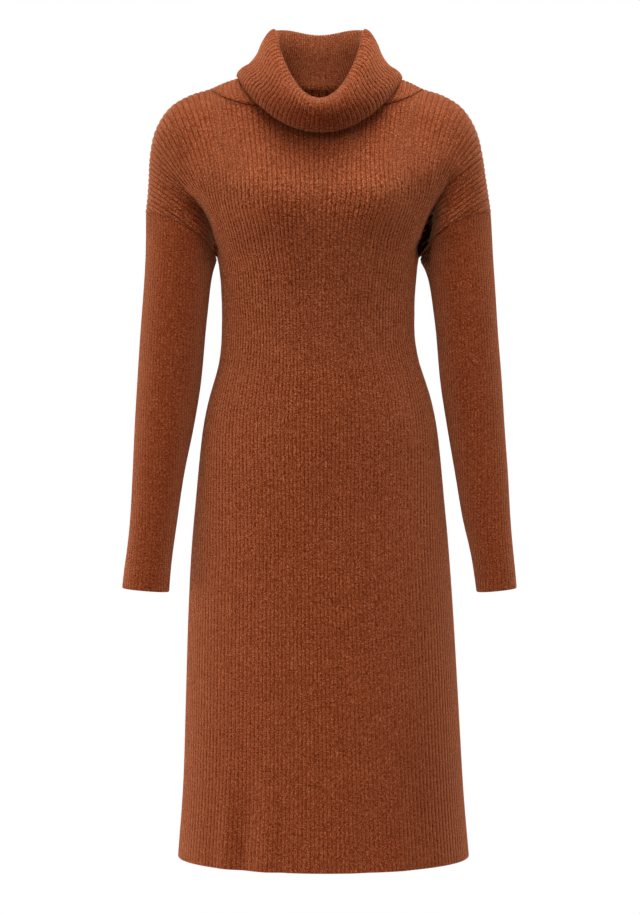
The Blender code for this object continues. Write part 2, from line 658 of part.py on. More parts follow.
def seam_table(surface):
    """For each seam vertex: the pieces that meet there and its seam edges."""
    pieces, edges = {}, {}
    for piece, ids in surface.faces:
        for i, j in zip(ids, ids[1:] + ids[:1]):
            pieces.setdefault(i, set()).add(piece)
            edges.setdefault(frozenset((i, j)), set()).add(piece)
    ends = {}
    for edge, who in edges.items():
        if len(who) > 1:
            for i in edge:
                ends.setdefault(i, []).append(next(j for j in edge if j != i))
    return pieces, ends


def piece_solid(name, surface, normals, seams):
    """Closed wall on both sides of one piece of the middle surface."""
    pts = np.array(surface.points)
    pieces, ends = seams
    faces = [ids for piece, ids in surface.faces if piece == name]
    used = sorted({i for f in faces for i in f})
    new = {i: k for k, i in enumerate(used)}
    edges = {(a, b) for f in faces for a, b in zip(f, f[1:] + f[:1])}
    rim = [(a, b) for (a, b) in edges if (b, a) not in edges]
    rim.sort()
    rim_set = set(rim)
    # pull seam points back into the piece by half the seam gap
    mid = pts.copy()
    for i in used:
        if len(pieces[i]) < 2:
            continue
        inward = sum((pts[f].mean(axis=0) - pts[i]) for f in faces if i in f)
        if len(pieces[i]) == 2:
            # both pieces step back from the same plane across the seam
            ways = [(pts[j] - pts[i]) / np.linalg.norm(pts[j] - pts[i]) for j in ends[i]]
            t = ways[0] - ways[1] if len(ways) > 1 else ways[0]
            b = np.cross(normals[i], t)
            b = b / np.linalg.norm(b)
            mid[i] = pts[i] + b * math.copysign(SEAM_GAP / 2, b @ inward)
        else:
            # at a corner it steps back from each of its own seam edges
            ways = []
            for f in faces:
                if i not in f:
                    continue
                k = f.index(i)
                c = pts[f]
                up = sum(np.cross(c[m], c[(m + 1) % len(f)]) for m in range(len(f)))
                for j, edge in ((f[(k + 1) % len(f)], (i, f[(k + 1) % len(f)])),
                                (f[k - 1], (f[k - 1], i))):
                    if edge in rim_set and j in ends[i]:
                        b = np.cross(up, pts[edge[1]] - pts[edge[0]])
                        ways.append(b / np.linalg.norm(b))
            ways = np.array(ways)
            mid[i] = pts[i] + np.linalg.pinv(ways) @ np.full(len(ways), CORNER_GAP)
    n = len(used)
    verts = [mid[i] + normals[i] * WALL / 2 for i in used] + \
            [mid[i] - normals[i] * WALL / 2 for i in used]
    faces_out = [[new[i] for i in f] for f in faces]
    faces_out += [[new[i] + n for i in reversed(f)] for f in faces]
    for a, b in rim:                # the same diagonal on both sides of a seam
        if a < b:
            faces_out += [[new[b], new[a], new[b] + n], [new[a], new[a] + n, new[b] + n]]
        else:
            faces_out += [[new[b], new[a], new[a] + n], [new[b], new[a] + n, new[b] + n]]
    mesh = bpy.data.meshes.new(name)
    mesh.from_pydata([tuple(v) for v in verts], [], faces_out)
    bm = bmesh.new()
    bm.from_mesh(mesh)
    bmesh.ops.triangulate(bm, faces=[f for f in bm.faces if len(f.verts) > 3],
                          quad_method="SHORT_EDGE")
    bm.to_mesh(mesh)
    bm.free()
    mesh.shade_smooth()
    mesh.set_sharp_from_angle(angle=math.radians(50))
    return mesh


def knit_material():
    mat = bpy.data.materials.new("rust_rib_knit")
    mat.use_nodes = True
    b = mat.node_tree.nodes["Principled BSDF"]
    b.inputs["Base Color"].default_value = (0.30, 0.078, 0.022, 1.0)
    b.inputs["Roughness"].default_value = 0.92
    b.inputs["Metallic"].default_value = 0.0
    return mat


def main():
    for ob in list(bpy.data.objects):
        bpy.data.objects.remove(ob, do_unlink=True)
    surface = build_surface()
    normals = outward_normals(np.array(surface.points), surface.faces)
    seams = seam_table(surface)
    root = bpy.data.objects.new("sweater_dress", None)
    bpy.context.scene.collection.objects.link(root)
    mat = knit_material()
    for name in ("front_panel", "back_panel", "sleeve_left", "sleeve_right", "collar"):
        mesh = piece_solid(name, surface, normals, seams)
        mesh.materials.append(mat)
        ob = bpy.data.objects.new(name, mesh)
        ob.parent = root
        bpy.context.scene.collection.objects.link(ob)


main()
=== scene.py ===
"""Looks of the rib-knit sweater dress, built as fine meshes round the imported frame.

Frame: +Z up, +X towards the wearer's left, the front faces -Y.  The origin is
the middle of the shoulder line.  Metres.  Every knitted rib is a row of
vertices of its own: the ribs run up the body, fan out over the drop shoulders,
turn into the armpit folds, run down the sleeves and over the rim of the collar.
"""

import json
import math

import bmesh
import bpy
import numpy as np
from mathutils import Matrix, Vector, kdtree

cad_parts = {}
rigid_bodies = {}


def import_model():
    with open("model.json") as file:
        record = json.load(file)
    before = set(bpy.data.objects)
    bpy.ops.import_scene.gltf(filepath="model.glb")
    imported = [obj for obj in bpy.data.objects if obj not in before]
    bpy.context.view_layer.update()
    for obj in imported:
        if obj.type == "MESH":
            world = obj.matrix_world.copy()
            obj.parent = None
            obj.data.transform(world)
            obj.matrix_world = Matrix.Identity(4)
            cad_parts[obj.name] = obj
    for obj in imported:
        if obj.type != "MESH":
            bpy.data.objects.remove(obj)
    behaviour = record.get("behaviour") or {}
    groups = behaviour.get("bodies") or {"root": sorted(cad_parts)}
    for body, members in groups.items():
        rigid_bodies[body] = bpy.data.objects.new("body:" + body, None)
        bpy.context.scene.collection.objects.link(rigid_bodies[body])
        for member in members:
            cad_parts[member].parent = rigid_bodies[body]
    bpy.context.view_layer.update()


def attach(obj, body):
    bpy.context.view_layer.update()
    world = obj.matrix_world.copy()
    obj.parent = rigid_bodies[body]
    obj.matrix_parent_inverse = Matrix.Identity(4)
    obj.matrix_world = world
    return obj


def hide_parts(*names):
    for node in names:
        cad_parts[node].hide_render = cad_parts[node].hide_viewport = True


for ob in list(bpy.data.objects):
    bpy.data.objects.remove(ob, do_unlink=True)
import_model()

# --------------------------------------------------------------------------
# the shape of the dress, as in the CAD source
# --------------------------------------------------------------------------
WALL = 0.0026            # knit thickness
SEAM_GAP = 0.00036       # between two cut pieces at a seam
CORNER_GAP = 0.0006     # each piece's step back from a seam where three or more meet
UNDERARM_Z = -0.2265     # level where body and sleeve meet
FOLD_TOP_Z = -0.145      # top of the deep armpit fold
EDGE_RADIUS = 0.045      # rounding of the shoulder ridge, seen from the side
ARM_FRONT = 0.050        # upper arm, half depth to the front
ARM_BACK = 0.052         # upper arm, half depth to the back
NECK_HALF = 0.080        # half width of the neck seam
NECK_SIDE_Z = 0.0195     # neck seam at the side of the neck
NECK_FRONT_Z = -0.060    # neck seam, front centre
NECK_BACK_Z = 0.006      # neck seam, back centre
SEAM_NECK_ANGLE = 45.0   # where the shoulder seam meets the neck seam, degrees
                         # round the front neck curve from its centre
BUST_X, BUST_Z, BUST_RISE, BUST_R = 0.076, -0.150, 0.0100, 0.050

# body sections below the arms
#  z, half width, front depth, back depth, centre x, front fullness, back fullness
TORSO = [
    (-0.2265, 0.1335, 0.1130, 0.1030, -0.0022, 2.30, 2.25),
    (-0.2400, 0.1306, 0.1100, 0.1010, -0.0014, 2.28, 2.22),
    (-0.2570, 0.1292, 0.1066, 0.0975, -0.0014, 2.24, 2.19),
    (-0.2840, 0.1274, 0.1022, 0.0920, -0.0019, 2.18, 2.15),
    (-0.3240, 0.1273, 0.0982, 0.0870, -0.0017, 2.12, 2.11),
    (-0.3640, 0.1312, 0.0986, 0.0880, -0.0006, 2.10, 2.10),
    (-0.3910, 0.1392, 0.1018, 0.0930, 0.0005, 2.08, 2.10),
    (-0.4180, 0.1474, 0.1052, 0.0998, 0.0007, 2.06, 2.10),
    (-0.4580, 0.1553, 0.1098, 0.1098, 0.0007, 2.05, 2.10),
    (-0.5000, 0.1600, 0.1120, 0.1160, 0.0007, 2.05, 2.10),
    (-0.5500, 0.1646, 0.1138, 0.1178, 0.0007, 2.04, 2.08),
    (-0.6100, 0.1701, 0.1155, 0.1172, 0.0008, 2.02, 2.05),
    (-0.7000, 0.1757, 0.1182, 0.1158, 0.0017, 2.00, 2.02),
    (-0.8200, 0.1810, 0.1228, 0.1170, 0.0034, 2.00, 2.00),
    (-0.9300, 0.1858, 0.1286, 0.1205, 0.0048, 2.00, 2.00),
    (-1.0280, 0.1934, 0.1360, 0.1260, 0.0053, 2.00, 2.00),
]
# body depth above the arms, on the centre line, and how far the shoulders and
# the chest are off the middle
#  z, front depth, back depth, shoulder centre x, chest centre x
CHEST = [
    (0.0195, 0.0330, 0.0420, -0.0016, 0.0000),
    (0.0060, 0.0440, 0.0500, -0.0026, 0.0000),
    (-0.0100, 0.0520, 0.0570, -0.0046, 0.0000),
    (-0.0300, 0.0620, 0.0670, -0.0050, 0.0000),
    (-0.0500, 0.0720, 0.0760, -0.0050, 0.0000),
    (-0.0700, 0.0835, 0.0835, -0.0048, -0.0002),
    (-0.0950, 0.0985, 0.0915, -0.0042, -0.0006),
    (-0.1250, 0.1125, 0.0985, -0.0028, -0.0012),
    (-0.1480, 0.1200, 0.1022, -0.0018, -0.0015),
    (-0.1650, 0.1212, 0.1038, -0.0016, -0.0018),
    (-0.1900, 0.1188, 0.1045, -0.0018, -0.0020),
    (-0.2265, 0.1130, 0.1030, -0.0022, -0.0022),
]
# the outline of the shoulder and upper arm, seen from the front
#  half width, z
SHOULDER = [
    (0.0800, 0.0195), (0.1202, 0.0072), (0.1430, -0.0032), (0.1648, -0.0100),
    (0.1840, -0.0196), (0.1966, -0.0300), (0.2078, -0.0459), (0.2165, -0.0670),
    (0.2217, -0.0952), (0.2244, -0.1229), (0.2271, -0.1480), (0.2297, -0.1680),
]
SHOULDER_SEAM_CROSS = 2      # row where the shoulder seam goes over the ridge
# the shoulder seam on the front, from the neck seam out to the ridge
#  half width, z
SHOULDER_SEAM = [(0.0940, -0.0308), (0.1230, -0.0190)]
RIDGE_BODY_END = (0.2213, -0.0925)   # last body wale that starts on the chest
RIDGE_ARM_END = (0.2271, -0.1480)    # last wale that starts in the armpit fold
# the armpit fold: where it runs, how far it is filled in (1 = no fold), and how
# wide its floor is before the cloth rises again on the arm
#  z, left x, right x, left fill, right fill, back fill, left floor, right floor
FOLD = [
    (-0.2265, 0.1335, 0.1335, 0.00, 0.00, 0.00, 0.0045, 0.0060),
    (-0.2130, 0.1352, 0.1342, 0.06, 0.05, 0.09, 0.0040, 0.0130),
    (-0.1960, 0.1390, 0.1372, 0.12, 0.09, 0.18, 0.0030, 0.0145),
    (-0.1800, 0.1445, 0.1425, 0.20, 0.12, 0.28, 0.0020, 0.0110),
    (-0.1670, 0.1515, 0.1488, 0.32, 0.17, 0.38, 0.0010, 0.0070),
    (-0.1550, 0.1600, 0.1562, 0.50, 0.26, 0.52, 0.0000, 0.0030),
    (-0.1450, 0.1690, 0.1630, 0.70, 0.42, 0.66, 0.0000, 0.0000),
    (-0.1320, 0.1800, 0.1700, 0.88, 0.70, 0.82, 0.0000, 0.0000),
    (-0.1150, 0.1880, 0.1760, 0.98, 0.93, 0.96, 0.0000, 0.0000),
    (-0.0950, 0.1900, 0.1800, 1.00, 1.00, 1.00, 0.0000, 0.0000),
    (0.0300, 0.1900, 0.1820, 1.00, 1.00, 1.00, 0.0000, 0.0000),
]
# the wall of the fold on the arm's side: how wide it is and how round
#  z, left, right, back, roundness (1 = straight, 2 = round)
FOLD_WALL = [
    (-0.2265, 0.0380, 0.0330, 0.0370, 1.10),
    (-0.2130, 0.0360, 0.0270, 0.0340, 1.35),
    (-0.1960, 0.0330, 0.0210, 0.0280, 1.70),
    (-0.1750, 0.0300, 0.0180, 0.0240, 2.00),
    (-0.1300, 0.0280, 0.0180, 0.0240, 2.00),
]
# lean of the wales where they end, degrees outwards from upright
#  place across the body (0 = centre, 1 = last), lean
WALE_LEAN = [(0.0, 0.0), (0.25, 3.0), (0.45, 8.0), (0.595, 14.0), (0.70, 20.0),
             (0.78, 25.0), (0.89, 33.0), (1.0, 42.0)]
# sleeve edge lines, seen from the front
#  z, left outer, left inner, right outer, right inner
SLEEVE_EDGE = [
    (-0.1600, 0.2300, 0.1550, 0.2292, 0.1560),
    (-0.2265, 0.2316, 0.1450, 0.2312, 0.1455),
    (-0.2620, 0.2336, 0.1472, 0.2335, 0.1492),
    (-0.3260, 0.2382, 0.1535, 0.2372, 0.1572),
    (-0.3900, 0.2420, 0.1590, 0.2420, 0.1624),
    (-0.4540, 0.2454, 0.1690, 0.2456, 0.1718),
    (-0.5180, 0.2478, 0.1818, 0.2498, 0.1824),
    (-0.5800, 0.2508, 0.1905, 0.2528, 0.1925),
    (-0.6200, 0.2548, 0.1960, 0.2560, 0.2020),
    (-0.6500, 0.2590, 0.1992, 0.2590, 0.2068),
    (-0.6750, 0.2612, 0.2008, 0.2608, 0.2100),
]
# sleeve rings: level of the ring's middle, how much higher its outer side is,
# how far forward its middle is, half depth
#  z, rise, forward, half depth
SLEEVE_RING = [
    (-0.1970, 0.0590, 0.0000, 0.0510),
    (-0.2130, 0.0480, 0.0000, 0.0510),
    (-0.2320, 0.0350, 0.0003, 0.0505),
    (-0.2600, 0.0210, 0.0010, 0.0500),
    (-0.3000, 0.0110, 0.0025, 0.0490),
    (-0.3450, 0.0070, 0.0050, 0.0480),
    (-0.3950, 0.0060, 0.0080, 0.0465),
    (-0.4450, 0.0060, 0.0115, 0.0440),
    (-0.5000, 0.0060, 0.0160, 0.0405),
    (-0.5550, 0.0060, 0.0210, 0.0375),
    (-0.6050, 0.0058, 0.0255, 0.0350),
    (-0.6450, 0.0055, 0.0285, 0.0342),
    (-0.6700, 0.0052, 0.0300, 0.0340),
]
# collar rings from the neck seam over the fold to the free edge; the last
# column is how sharply the ring dips towards the front centre
#  half width, front depth, back depth, z front, z side, z back, droop
COLLAR = [
    (0.0710, 0.0820, 0.0550, -0.0515, 0.0320, 0.0220, 1.10),
    (0.0612, 0.0885, 0.0585, -0.0425, 0.0470, 0.0430, 1.30),
    (0.0575, 0.0945, 0.0615, -0.0345, 0.0645, 0.0655, 1.45),
    (0.0605, 0.1000, 0.0665, -0.0300, 0.0775, 0.0812, 1.50),
    (0.0672, 0.1085, 0.0735, -0.0310, 0.0740, 0.0800, 1.50),
    (0.0757, 0.1160, 0.0795, -0.0360, 0.0605, 0.0665, 1.60),
    (0.0826, 0.1195, 0.0835, -0.0445, 0.0440, 0.0485, 1.65),
    (0.0925, 0.1180, 0.0865, -0.0535, 0.0308, 0.0300, 1.70),
    (0.1022, 0.1128, 0.0885, -0.0610, 0.0246, 0.0130, 1.75),
    (0.1080, 0.1062, 0.0900, -0.0675, 0.0190, -0.0010, 1.65),
    (0.1098, 0.0995, 0.0905, -0.0725, 0.0138, -0.0130, 1.60),
]
COLLAR_SIDE = 0.0090     # the free edge is tucked in at the front centre by this much
COLLAR_HUMP = 0.0050     # the fold stands a little higher left and right of the nape
COLLAR_TILT = 0.0016     # the folded-down part hangs lower on the wearer's left

# --------------------------------------------------------------------------
# ribs and rows
# --------------------------------------------------------------------------
PHASES = (0.0, 0.16, 0.36, 0.64, 0.84)   # vertices across one rib; 0 is the groove
BODY_RIBS = 45                           # ribs of half a panel
UP_RIBS = 37                             # those that run on up past the armpit
SHARE = {"front": (9 / 37, 22 / 37), "back": (13 / 37, 25 / 37)}
ARM_RIBS = 8                             # those that go through the fold to the shoulder
SEAM_RIBS = 3                            # and those that start on the armhole seam
ROWS_SKIRT, ROWS_LOW, ROWS_TOP, ROWS_WEDGE = 64, 40, 28, 16
# width of the ribs across a half section, from its centre to the side
#  level, and the width at the shares RIB_AT of the ribs
RIB_AT = [0.0, 0.25, 0.50, 0.65, 0.80, 1.0]
RIB_WIDTH = [
    (-1.028, 0.960, 0.970, 1.02, 1.08, 1.12, 0.85),
    (-0.850, 0.960, 0.980, 1.05, 1.12, 1.10, 0.78),
    (-0.620, 0.957, 1.000, 1.13, 1.13, 1.02, 0.70),
    (-0.460, 1.100, 1.130, 1.21, 1.24, 0.90, 0.32),
    (-0.287, 1.200, 1.185, 1.18, 1.19, 0.80, 0.33),
    (-0.2265, 1.220, 1.220, 1.20, 1.12, 0.78, 0.38),
    (-0.190, 1.080, 1.090, 1.10, 0.98, 0.84, 0.70),
    (-0.145, 1.040, 1.050, 0.95, 0.83, 0.88, 1.05),
]
COLLAR_RIBS, ROWS_COLLAR = 110, 80
ROWS_SLEEVE = 88
SLEEVE_PITCH = [(0.0, 0.00425), (0.55, 0.00430), (0.85, 0.00465), (1.0, 0.00490)]
RIB_DEEP = 0.0011                        # from the crest of a rib to its groove
# how strong the ribs are down the skirt (level, strength) and on the sleeves
RIB_STRENGTH = ([-1.028, -0.80, -0.55, -0.35, -0.2265, -0.17],
                [0.62, 0.64, 0.74, 0.88, 1.05, 1.15])
TOP_STRENGTH = RIB_STRENGTH[1][-1]       # of the ribs from the bust up
SLEEVE_STRENGTH = {"left": 0.35, "right": 0.50}
COURSE = 0.0029                          # height of one row of stitches


# --------------------------------------------------------------------------
# small curve helpers
# --------------------------------------------------------------------------
def slopes(xs, ys):
    """Tangents of a shape-keeping cubic through the points."""
    h = np.diff(xs)
    d = np.diff(ys) / h
    m = np.zeros(len(xs))
    m[0], m[-1] = d[0], d[-1]
    for i in range(1, len(xs) - 1):
        if d[i - 1] * d[i] > 0:
            w1, w2 = 2 * h[i] + h[i - 1], h[i] + 2 * h[i - 1]
            m[i] = (w1 + w2) / (w1 / d[i - 1] + w2 / d[i])
    return m


def table(rows, column, x):
    """A column of a table at x, by the smooth curve through its rows."""
    rows = sorted(rows, key=lambda r: r[0])
    xs = np.array([r[0] for r in rows])
    ys = np.array([r[column] for r in rows])
    m = slopes(xs, ys)
    x = np.clip(np.asarray(x, float), xs[0], xs[-1])
    i = np.clip(np.searchsorted(xs, x) - 1, 0, len(xs) - 2)
    h = xs[i + 1] - xs[i]
    t = (x - xs[i]) / h
    return ((1 + 2 * t) * (1 - t) ** 2 * ys[i] + t * (1 - t) ** 2 * h * m[i]
            + t * t * (3 - 2 * t) * ys[i + 1] - t * t * (1 - t) * h * m[i + 1])


class Curve:
    """A column of a table as an even softer curve, blurred over a few mm."""

    def __init__(self, rows, column, blur):
        rows = sorted({r[0]: r for r in rows}.values(), key=lambda r: r[0])
        lo, hi, step = rows[0][0], rows[-1][0], 0.0005
        n = int(round((hi - lo) / step))
        self.x = np.linspace(lo, hi, n + 1)
        y = table(rows, column, self.x)
        k = int(3 * blur / step)
        w = np.exp(-0.5 * (np.arange(-k, k + 1) * step / blur) ** 2)
        left = y[0] - (y[1] - y[0]) * np.arange(k, 0, -1)
        right = y[-1] + (y[-1] - y[-2]) * np.arange(1, k + 1)
        self.y = np.convolve(np.concatenate([left, y, right]), w / w.sum(), "valid")

    def __call__(self, x):
        return np.interp(x, self.x, self.y)


def length_along(p):
    return np.concatenate([[0.0], np.cumsum(np.linalg.norm(np.diff(p, axis=0), axis=1))])


def at_length(p, d):
    """Points of polyline p at the distances d along it."""
    s = length_along(p)
    return np.stack([np.interp(d, s, p[:, k]) for k in range(p.shape[1])], axis=1)


def at_fraction(p, f):
    s = length_along(p)
    return at_length(p, np.asarray(f) * s[-1])


def smooth_line(knots, per=24):
    """A round line through a few knots."""
    k = np.array(knots, float)
    s = length_along(k)
    u = np.concatenate([np.linspace(a, b, per + 1)[:-1] for a, b in zip(s[:-1], s[1:])]
                       + [s[-1:]])
    return through(k, s, u)


def through(k, s, u):
    """The round line through knots k (any trailing shape) at places s, read at u."""
    shape = (-1,) + (1,) * (k.ndim - 1)
    m = np.zeros_like(k)
    m[1:-1] = (k[2:] - k[:-2]) / (s[2:] - s[:-2]).reshape(shape)
    m[0] = (k[1] - k[0]) / (s[1] - s[0])
    m[-1] = (k[-1] - k[-2]) / (s[-1] - s[-2])
    i = np.clip(np.searchsorted(s, u) - 1, 0, len(s) - 2)
    h = (s[i + 1] - s[i]).reshape(shape)
    t = ((u - s[i]) / (s[i + 1] - s[i])).reshape(shape)
    return ((1 + 2 * t) * (1 - t) ** 2 * k[i] + t * (1 - t) ** 2 * h * m[i]
            + t * t * (3 - 2 * t) * k[i + 1] - t * t * (1 - t) * h * m[i + 1])


def bezier(p0, a0, p3, a3, n, hold=0.36):
    """Cubics in the front view from p0 to p3 (k, 2); a0 and a3 are leans in degrees."""
    reach = np.linalg.norm(p3 - p0, axis=1)[:, None] * hold
    a0, a3 = np.radians(np.broadcast_to(a0, len(p0))), np.radians(np.broadcast_to(a3, len(p0)))
    p1 = p0 + np.stack([np.sin(a0), np.cos(a0)], axis=1) * reach
    p2 = p3 - np.stack([np.sin(a3), np.cos(a3)], axis=1) * reach
    t = np.sin(np.linspace(0, 1, n) * math.pi / 2)[None, :, None]
    p0, p1, p2, p3 = (p[:, None, :] for p in (p0, p1, p2, p3))
    return ((1 - t) ** 3 * p0 + 3 * t * (1 - t) ** 2 * p1
            + 3 * t * t * (1 - t) * p2 + t ** 3 * p3)


def ease(t):
    t = np.clip(t, 0.0, 1.0)
    return t * t * (3 - 2 * t)


# --------------------------------------------------------------------------
# depth of the body in the front view
# --------------------------------------------------------------------------
RIDGE = smooth_line(SHOULDER)
OUTLINE = np.vstack([RIDGE, [[0.2312, -0.2265], [0.2335, -0.2620], [0.2370, -0.3260]]])
T_HALF = Curve(TORSO, 1, 0.009)
CENTRE = {"front": Curve([(r[0], r[1]) for r in CHEST] + [(r[0], r[2]) for r in TORSO], 1, 0.009),
          "back": Curve([(r[0], r[2]) for r in CHEST] + [(r[0], r[3]) for r in TORSO], 1, 0.009)}
MID_CHEST = Curve([(r[0], r[4]) for r in CHEST] + [(r[0], r[4]) for r in TORSO], 1, 0.009)
MID_ARM = Curve([(r[0], r[3]) for r in CHEST] + [(r[0], r[4]) for r in TORSO], 1, 0.009)
FULL = {"front": Curve(TORSO, 5, 0.02), "back": Curve(TORSO, 6, 0.02)}


def ridge_gap(x, z):
    """Distance in the front view to the outline of shoulder and arm."""
    p = np.stack([np.abs(x), z], axis=-1)
    best = np.full(p.shape[:-1], 9.0)
    for a, b in zip(OUTLINE[:-1], OUTLINE[1:]):
        ab = b - a
        t = np.clip(((p - a) @ ab) / (ab @ ab), 0, 1)
        q = p - a - t[..., None] * ab
        best = np.minimum(best, (q * q).sum(axis=-1))
    return np.sqrt(best)


def fold_x(z, side, face):
    if face == "back":
        side = "left"
    return table(FOLD, 1 if side == "left" else 2, z)


def depth(x, z, side, face):
    """How far the cloth stands off the side plane at (x, z)."""
    ax = np.abs(x)
    wide = fold_x(z, side, face)
    fill = table(FOLD, 5 if face == "back" else (3 if side == "left" else 4), z)
    keep = 1.0 - fill
    centre = CENTRE[face](z)
    full = 2.30 if face == "front" else 2.25
    u = np.clip(ax / wide, 0, 1)
    hollow = (1 - u ** full) ** (1 / full)
    open_ = 1 - 0.24 * (ax / 0.16) ** 2
    chest = centre * (keep * hollow + fill * open_)
    if face == "front":
        r2 = ((ax - BUST_X) ** 2 + ((z - BUST_Z) * 1.05) ** 2) / BUST_R ** 2
        chest = chest + BUST_RISE * np.exp(-r2) * ease((z - UNDERARM_Z) / 0.045)
    arm = ARM_FRONT if face == "front" else ARM_BACK
    wall = table(FOLD_WALL, 3 if face == "back" else (1 if side == "left" else 2), z)
    turn = table(FOLD_WALL, 4, z)
    floor = 0.003 if face == "back" else table(FOLD, 6 if side == "left" else 7, z)
    s = np.clip((ax - wide - floor) / wall, 0, 1)
    arm = arm * (keep * (1 - (1 - s) ** turn) ** (1 / turn) + fill)
    half = 0.0004 + 0.035 * fill
    w = ease((ax - wide + half) / (2 * half))
    d = np.clip(ridge_gap(x, z) / EDGE_RADIUS, 0, 1)
    return (chest * (1 - w) + arm * w) * np.sqrt(1 - (1 - d) ** 2)


def place(path, side, face):
    """Front-view points (..., 2) of the right-hand side to 3-D points."""
    x, z = path[..., 0], path[..., 1]
    y = depth(x, z, side, face) * (-1 if face == "front" else 1)
    sx = 1 if side == "right" else -1
    inner = MID_CHEST(z)
    mid = inner + (MID_ARM(z) - inner) * ease(np.abs(x) / 0.14)
    return np.stack([sx * x + mid, y, z], axis=-1)


def spread(z, g):
    """Where the ribs g (0..1) of a half section lie, as shares of its length."""
    width = [float(np.interp(z, [r[0] for r in RIB_WIDTH], [r[k] for r in RIB_WIDTH]))
             for k in range(1, 7)]
    fine = np.linspace(0, 1, 241)
    w = np.interp(fine, RIB_AT, width)
    w = np.convolve(np.pad(w, 12, mode="edge"), np.hanning(27)[1:-1] / np.hanning(27).sum(), "valid")
    total = np.concatenate([[0], np.cumsum((w[1:] + w[:-1]) / 2)])
    return np.interp(g, fine, total / total[-1])


def half_section(z, face, side, g):
    """Points of a half section from its centre (g = 0) to the side seam (1)."""
    half, deep = float(T_HALF(z)), float(CENTRE[face](z))
    full, mid = float(FULL[face](z)), float(MID_CHEST(z))
    a = np.linspace(0, math.pi / 2, 361)
    p = np.stack([half * np.sin(a) ** (2 / full), deep * np.cos(a) ** (2 / full)], axis=1)
    q = at_fraction(p, spread(z, g))
    sx = 1 if side == "right" else -1
    sy = -1 if face == "front" else 1
    return np.stack([sx * q[:, 0] + mid, sy * q[:, 1], np.full(len(q), z)], axis=1)


# --------------------------------------------------------------------------
# the lines on which the wales end
# --------------------------------------------------------------------------
def neck_front(b):
    b = np.radians(b)
    return np.stack([NECK_HALF * np.sin(b),
                     NECK_FRONT_Z + (NECK_SIDE_Z - NECK_FRONT_Z) * (1 - np.cos(b))], axis=-1)


def neck_back(b):
    b = np.radians(b)
    return np.stack([NECK_HALF * np.sin(b),
                     NECK_BACK_Z + (NECK_SIDE_Z - NECK_BACK_Z) * (1 - np.cos(b))], axis=-1)


SEAM_LINE = smooth_line([tuple(neck_front(np.array(SEAM_NECK_ANGLE)))] + SHOULDER_SEAM
                        + [SHOULDER[SHOULDER_SEAM_CROSS]])


def ridge_part(p, q):
    i = int(np.argmin(np.linalg.norm(RIDGE - np.array(p), axis=1)))
    j = int(np.argmin(np.linalg.norm(RIDGE - np.array(q), axis=1)))
    return RIDGE[i:j + 1]


NECK_TO_CROSS = ridge_part(SHOULDER[0], SHOULDER[SHOULDER_SEAM_CROSS])
CROSS_TO_END = ridge_part(SHOULDER[SHOULDER_SEAM_CROSS], RIDGE_BODY_END)
END_TO_ARM = ridge_part(RIDGE_BODY_END, RIDGE_ARM_END)
ARM_TO_SLEEVE = ridge_part(RIDGE_ARM_END, SHOULDER[-1])


def top_points(g, face):
    """Where the wales at g end, in the front view."""
    neck, cross = SHARE[face]
    out = np.zeros((len(g), 2))
    a, b, c = g <= neck + 1e-9, (g > neck + 1e-9) & (g <= cross + 1e-9), g > cross + 1e-9
    out[a] = neck_front(g[a] / neck * SEAM_NECK_ANGLE) if face == "front" \
        else neck_back(g[a] / neck * 90.0)
    out[b] = at_fraction(SEAM_LINE if face == "front" else NECK_TO_CROSS,
                         (g[b] - neck) / (cross - neck))
    t = (g[c] - cross) / (1 - cross)
    out[c] = at_fraction(CROSS_TO_END, 0.88 * t + 0.12 * t * t)
    return out


def end_rows(length, rows, close, power=1.0):
    """Distances of the rows along a wale that ends on a seam: even, and then
    close together over the last few millimetres."""
    last = np.array(close) * min(1.0, length / (4 * max(close)))
    even = np.linspace(0, 1, rows - len(close) + 1) ** power * (length - last[0])
    return np.concatenate([even, length - last[1:], [length]])


SEAM_ROWS = (0.0045, 0.0022, 0.0009)


def chest_map(u, side, face):
    """Front-view x of the ribs u at levels between the underarm and the top of
    the armpit fold; the ribs past UP_RIBS run into the fold one by one."""
    levels = np.linspace(UNDERARM_Z, FOLD_TOP_Z, 121)
    out = []
    for z in levels:
        wide = float(fold_x(z, side, face))
        x = wide * np.sin(np.linspace(0, math.pi / 2, 401))
        d = length_along(np.stack([x, depth(x, np.full(401, z), side, face)], axis=1))
        n = UP_RIBS + ARM_RIBS * (FOLD_TOP_Z - z) / (FOLD_TOP_Z - UNDERARM_Z)
        out.append(np.interp(spread(z, np.minimum(u / n, 1.0)) * d[-1], d, x))
    return levels, np.array(out)


